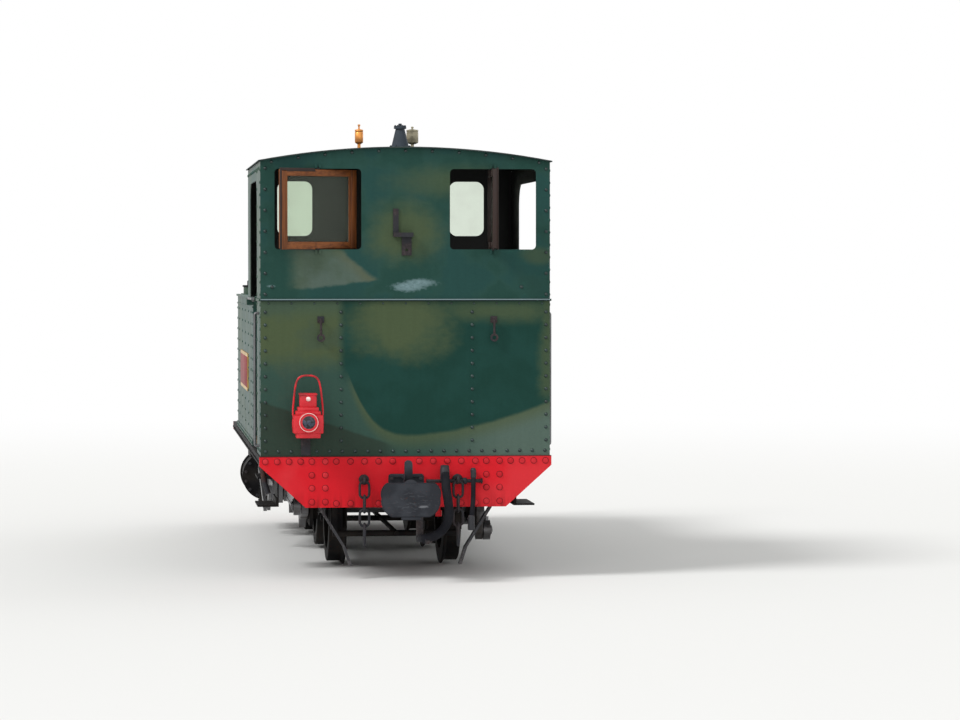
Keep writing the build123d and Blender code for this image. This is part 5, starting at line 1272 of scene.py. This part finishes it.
class ENGINE_OT_sashes(EngineOperator, bpy.types.Operator):
    """The two wooden window sashes, turned open about their pivots"""

    bl_idname = "engine.sashes"
    bl_label = "Sashes"

    def execute(self, context):
        member = context.scene.engine_sizes.sash_member
        pivot_x, pivot_y, mid_z = SHEET_X + 0.004, 0.608, 2.5695
        stiles, rails, edges, pins = [], [], [], []
        for side, degrees in ((1, 24), (-1, 87)):
            turn = Matrix.Rotation(math.radians(degrees), 4, "Z")
            turn = Matrix.Translation((pivot_x, side * pivot_y, mid_z)) @ turn
            made = self.sash(member)
            for pieces in made.values():
                for piece in pieces:
                    piece.data.transform(turn)
            if side > 0:
                stiles += made["upright"]
                rails += made["level"]
                edges += made["edge"]
            else:
                edges += made["upright"] + made["level"] + made["edge"]
            pins += made["metal"]
        dress(joined(stiles), "sash_stiles", "wood_upright", replaces=["window_sashes"])
        dress(joined(rails), "sash_rails", "wood_level")
        dress(joined(edges), "sash_edges", "wood_dark")
        dress(joined(pins), "sash_pivots", "iron")
        return {"FINISHED"}

    def sash(self, member):
        """One closed sash round its pivot: stiles, rails, cover strips with dark edges, and pins."""
        half_width, half_height = 0.294, 0.2725
        half_thick = 0.016
        lip, lip_depth = 0.009, 0.006
        edge_width = 0.015
        strip_start = 0.03
        inner, outer = half_width - member, half_width + lip
        inner_height = half_height - member
        tall = half_height + lip
        made = {"upright": [], "level": [], "edge": [], "metal": []}
        for end in (-1, 1):
            cover_x = (-end * (half_thick + lip_depth), -end * half_thick)
            cover_y = (end * inner, end * (outer - edge_width))
            stile_z = (-half_height, half_height)
            bead_y = (end * (inner - 0.01), end * inner)
            made["upright"] += [
                self.slat((-half_thick, half_thick), (end * inner, end * half_width), stile_z),
                self.slat((-0.008, 0.008), bead_y, (-inner_height, inner_height)),
                self.slat(cover_x, cover_y, (-tall, tall - edge_width)),
            ]
            made["edge"].append(self.slat(cover_x, (cover_y[1], end * outer), (-tall, tall)))
            rail_x = (0.001 - half_thick, half_thick - 0.001)
            made["level"].append(self.slat(rail_x, (-inner, inner), (end * half_height, end * inner_height)))
            for level_end in (-1, 1):
                rim = level_end * (tall - (edge_width * 1.6 if level_end > 0 else 0.004))
                strip = (end * strip_start, end * inner)
                made["level"].append(self.slat(cover_x, strip, (rim, level_end * inner_height)))
                strip = (end * strip_start, cover_y[1])
                made["edge"].append(self.slat(cover_x, strip, (rim, level_end * tall)))
            pin_z = end * (half_height + 0.003) - 0.01
            made["metal"].append(turned([(0, 0.008), (0.02, 0.008)], (0, 0, pin_z), sides=12))
            made["metal"].append(turned([(0, 0.015), (0.004, 0.015)], (0, 0, pin_z + 0.011), sides=16))
        return made

    def slat(self, x, y, z):
        """A bar from pairs of X, Y and Z limits in any order."""
        low, high = zip(*(sorted(pair) for pair in (x, y, z)))
        return bar(low, high, 0.002)


class ENGINE_OT_tail_lamp(EngineOperator, bpy.types.Operator):
    """The red tail lamp: body, chimney, lens, side doors and wire handle"""

    bl_idname = "engine.tail_lamp"
    bl_label = "Tail lamp"

    def execute(self, context):
        lens = context.scene.engine_sizes.lens
        low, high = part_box("tail_lamp")
        mid_y = (low.y + high.y) / 2
        rear = low.x + 0.034
        mid_x = (rear + high.x) / 2
        base = low.z
        lens_z = RAIL + 1.079
        door_steps = [(0, 0.036), (0.005, 0.036), (0.008, 0.031)]
        parts = []
        for half, bottom, top, inset, bevel in (
            (0.083, 0.0, 0.034, 0.01, 0.004),
            (0.103, 0.031, 0.158, 0.0, 0.009),
            (0.086, 0.156, 0.184, 0.012, 0.007),
            (0.072, 0.182, 0.211, 0.024, 0.006),
            (0.0585, 0.208, 0.3, 0.036, 0.012),
            (0.062, 0.291, 0.307, 0.032, 0.006),
        ):
            parts.append(bar(
                (rear + inset, mid_y - half, base + bottom), (high.x - inset, mid_y + half, base + top), bevel
            ))
        parts.append(turned(
            [(0, lens + 0.013), (0.012, lens + 0.012), (0.018, lens + 0.007), (0.028, lens + 0.007)],
            (rear + 0.001, mid_y, lens_z), "-x", 40,
        ))
        for side, axis in ((1, "y"), (-1, "-y")):
            y = mid_y + side * 0.102
            latch = (mid_x - 0.012, y - 0.004, base + 0.142)
            parts.append(bar(latch, (mid_x + 0.012, y + 0.004, base + 0.172), 0.003))
            parts.append(turned(door_steps, (mid_x, mid_y + side * 0.1, base + 0.095), axis, 24))
        leg = ((0.103, 0.155), (0.103, 0.2), (0.096, 0.27), (0.089, 0.34), (0.074, 0.402), (0.04, 0.428))
        arch = [(mid_x, mid_y - y, base + z) for y, z in leg]
        arch += [(mid_x, mid_y + y, base + z) for y, z in reversed(leg)]
        parts.append(tube(arch, 0.007))
        dress(joined(parts), "tail_lamp_body", "lamp", replaces=["tail_lamp"])

        rim = turned(
            [(0, lens + 0.0065), (0.005, lens + 0.0055), (0.005, lens + 0.0015), (-0.003, lens)],
            (rear - 0.026, mid_y, lens_z), "-x", 40,
        )
        knob_steps = [(0, 0.016), (0.006, 0.016), (0.009, 0.011)]
        knob = turned(knob_steps, (rear + 0.036, mid_y, base + 0.268), "-x", 16)
        dress(joined([rim, knob]), "tail_lamp_rim", "lamp_rim")

        dome = [(0, lens)]
        for step in range(1, 7):
            angle = math.radians(15 * step)
            dome.append((0.02 * math.sin(angle), max(0.0008, lens * math.cos(angle))))
        bull = turned(dome, (rear - 0.014, mid_y, lens_z), "-x", 40)
        dress(bull, "tail_lamp_lens", "lens", angle=60)
        return {"FINISHED"}


class ENGINE_OT_chains(EngineOperator, bpy.types.Operator):
    """Side chains of round bar with their eye bolts"""

    bl_idname = "engine.chains"
    bl_label = "Chains"

    def execute(self, context):
        bar_radius = context.scene.engine_sizes.chain_bar / 2
        width, length, end_length = 0.084, 0.134, 0.172
        touch = 0.0006
        pitch = length - 4 * bar_radius - touch
        eye_z = RAIL + 0.672
        reach = BEAM_X + 0.062
        top = eye_z - 0.018 - touch
        pipe_x, pipe_z = BEAM_X + 0.024, RAIL + 0.66
        pieces = []
        for y in (0.293, -0.357):
            parts = [
                turned([(0, 0.036), (0.01, 0.036), (0.014, 0.03)], (BEAM_X, y, eye_z), "x", 24),
                turned([(0, 0.018), (0.04, 0.018)], (BEAM_X, y, eye_z), "x", 20),
                self.link(0.06, 0.06, 0.0125, (reach, y, eye_z), 0),
            ]
            if y < 0:
                collar = [(0, 0.02), (0.003, 0.023), (0.025, 0.023), (0.028, 0.02)]
                cap = [(0, 0.012), (0.003, 0.02), (0.01, 0.02), (0.013, 0.012)]
                parts += turned_set(
                    ([(0, 0.013), (0.38, 0.013)], (pipe_x, -0.52, pipe_z), "y", 20),
                    (collar, (pipe_x, y - 0.064, pipe_z), "y", 24),
                    (cap, (pipe_x, -0.532, pipe_z), "y", 24),
                    ([(0, 0.009), (0.024, 0.009)], (BEAM_X, -0.506, pipe_z), "x", 16),
                )
            for count, long in enumerate((length, length, length, end_length)):
                centre = (reach, y, top - pitch * count - long / 2 + 2 * bar_radius)
                parts.append(self.link(width, long, bar_radius, centre, 90 if count % 2 == 0 else 0))
            chain = joined(parts)
            pieces += [chain, mirrored(chain)]
        dress(joined(pieces), "round_bar_chains", "chain", replaces=["side_chains"], angle=50)
        return {"FINISHED"}

    def link(self, width, length, bar_radius, centre, turn):
        """One oval link that stands upright across the engine, then turned about Z."""
        start_clean()
        bpy.ops.mesh.primitive_torus_add(
            major_radius=width / 2 - bar_radius, minor_radius=bar_radius,
            major_segments=28, minor_segments=12, rotation=(math.radians(90), 0, 0),
        )
        piece = settle(bpy.context.object)
        straight = (length - width) / 2
        if straight > 0:
            for end in (1, -1):
                move_part(piece, lambda place: end * place.z > 1e-6, (0, 0, end * straight))
        piece.data.transform(Matrix.Translation(centre) @ Matrix.Rotation(math.radians(turn), 4, "Z"))
        return piece


class ENGINE_OT_hoses(EngineOperator, bpy.types.Operator):
    """Brake hoses and heating pipes at both beams, with their couplings and brackets"""

    bl_idname = "engine.hoses"
    bl_label = "Hoses"

    def execute(self, context):
        radius = context.scene.engine_sizes.hose / 2
        out = BEAM_X + 0.104
        hose_route = [
            (out - 0.018, -0.262, 0.764), (out, -0.266, 0.65), (out + 0.006, -0.286, 0.54),
            (out + 0.006, -0.294, 0.44), (out - 0.002, -0.252, 0.35), (out - 0.014, -0.182, 0.3),
            (out - 0.03, -0.104, 0.286),
        ]
        pipe_route = [
            (out - 0.04, -0.463, 0.756), (out - 0.032, -0.462, 0.64), (out - 0.032, -0.46, 0.524),
            (out - 0.034, -0.448, 0.42),
        ]
        rubber = joined([tube(hose_route, radius, rings=6), tube(pipe_route, 0.0165, rings=5)])
        dress(both_ends(rubber), "hose_rubber_tubes", "rubber", replaces=["hoses"], angle=60)

        hose_clamp = [(0, 0.033), (0.07, 0.033), (0.074, 0.03), (0.09, 0.03), (0.094, 0.024)]
        pipe_coupling = [(0, 0.018), (0.004, 0.024), (0.09, 0.024), (0.1, 0.021), (0.104, 0.018)]
        pipe_clamp = [(0, 0.02), (0.05, 0.02), (0.054, 0.016), (0.066, 0.014)]
        hose_foot = [(0, 0.036), (0.03, 0.036), (0.034, 0.03), (0.05, 0.03)]
        fittings = turned_set(
            ([(0, 0.022), (out - BEAM_X - 0.018, 0.022)], (BEAM_X, -0.262, 0.764), "x", 24),
            (hose_clamp, (out - 0.018, -0.2622, 0.705), "z", 28),
            ([(0, 0.034), (0.012, 0.034)], (out - 0.016, -0.264, 0.69), "z", 28),
            ([(0, 0.0165), (out - BEAM_X - 0.04, 0.0165)], (BEAM_X, -0.463, 0.756), "x", 20),
            (pipe_clamp, (out - 0.04, -0.463, 0.712), "z", 24),
            (pipe_coupling, (out - 0.034, -0.447, 0.346), "z", 28),
            ([(0, 0.02), (0.05, 0.02)], (BEAM_X - 0.001, -0.096, 0.286), "x", 20),
            (hose_foot, (out - 0.03, -0.124, 0.288), "-y", 26),
        )
        fittings.append(bar((BEAM_X - 0.027, -0.12, 0.258), (BEAM_X, -0.072, 0.503), 0.004))
        dress(both_ends(joined(fittings)), "hose_fittings", "iron")
        return {"FINISHED"}


class ENGINE_OT_nameplates(EngineOperator, bpy.types.Operator):
    """The blank red fields inside the nameplates' brass borders"""

    bl_idname = "engine.nameplates"
    bl_label = "Nameplates"

    def execute(self, context):
        low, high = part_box("nameplates")
        border = 0.026
        fields = []
        for side in (1, -1):
            inner, outer = sorted((side * (high.y - 0.002), side * (high.y + 0.0015)))
            corner = (low.x + border, inner, low.z + border)
            fields.append(bar(corner, (high.x - border, outer, high.z - border), 0.001))
        dress(joined(fields), "nameplate_fields", "plate")
        return {"FINISHED"}


def draw_panel(self, context):
    """Lists the sizes, colours and operators."""
    layout = self.layout
    for group in (context.scene.engine_sizes, context.scene.engine_colours):
        column = layout.column()
        for name in group.__annotations__:
            column.prop(group, name)
    for operator in OPERATORS:
        layout.operator(operator.bl_idname)


class ENGINE_PT_panel(bpy.types.Panel):
    """Sizes, colours and steps of the engine's looks"""

    bl_idname = "ENGINE_PT_panel"
    bl_label = "Tank engine"
    bl_space_type = "VIEW_3D"
    bl_region_type = "UI"
    bl_category = "Engine"
    draw = draw_panel


OPERATORS = [
    ENGINE_OT_stage, ENGINE_OT_finishes, ENGINE_OT_cab_rivets, ENGINE_OT_beam_rivets, ENGINE_OT_tank_rivets,
    ENGINE_OT_smokebox_rivets, ENGINE_OT_nuts, ENGINE_OT_buffers, ENGINE_OT_whistles, ENGINE_OT_sashes,
    ENGINE_OT_tail_lamp, ENGINE_OT_chains, ENGINE_OT_hoses, ENGINE_OT_nameplates,
]
CLASSES = [EngineColours, EngineSizes, *OPERATORS, ENGINE_PT_panel]


def register():
    for entry in CLASSES:
        bpy.utils.register_class(entry)
    bpy.types.Scene.engine_colours = bpy.props.PointerProperty(type=EngineColours)
    bpy.types.Scene.engine_sizes = bpy.props.PointerProperty(type=EngineSizes)


def unregister():
    del bpy.types.Scene.engine_sizes
    del bpy.types.Scene.engine_colours
    for entry in reversed(CLASSES):
        bpy.utils.unregister_class(entry)


def main():
    """Builds everything in order."""
    register()
    for operator in OPERATORS:
        group, name = operator.bl_idname.split(".")
        getattr(getattr(bpy.ops, group), name)()


if __name__ == "__main__":
    main()
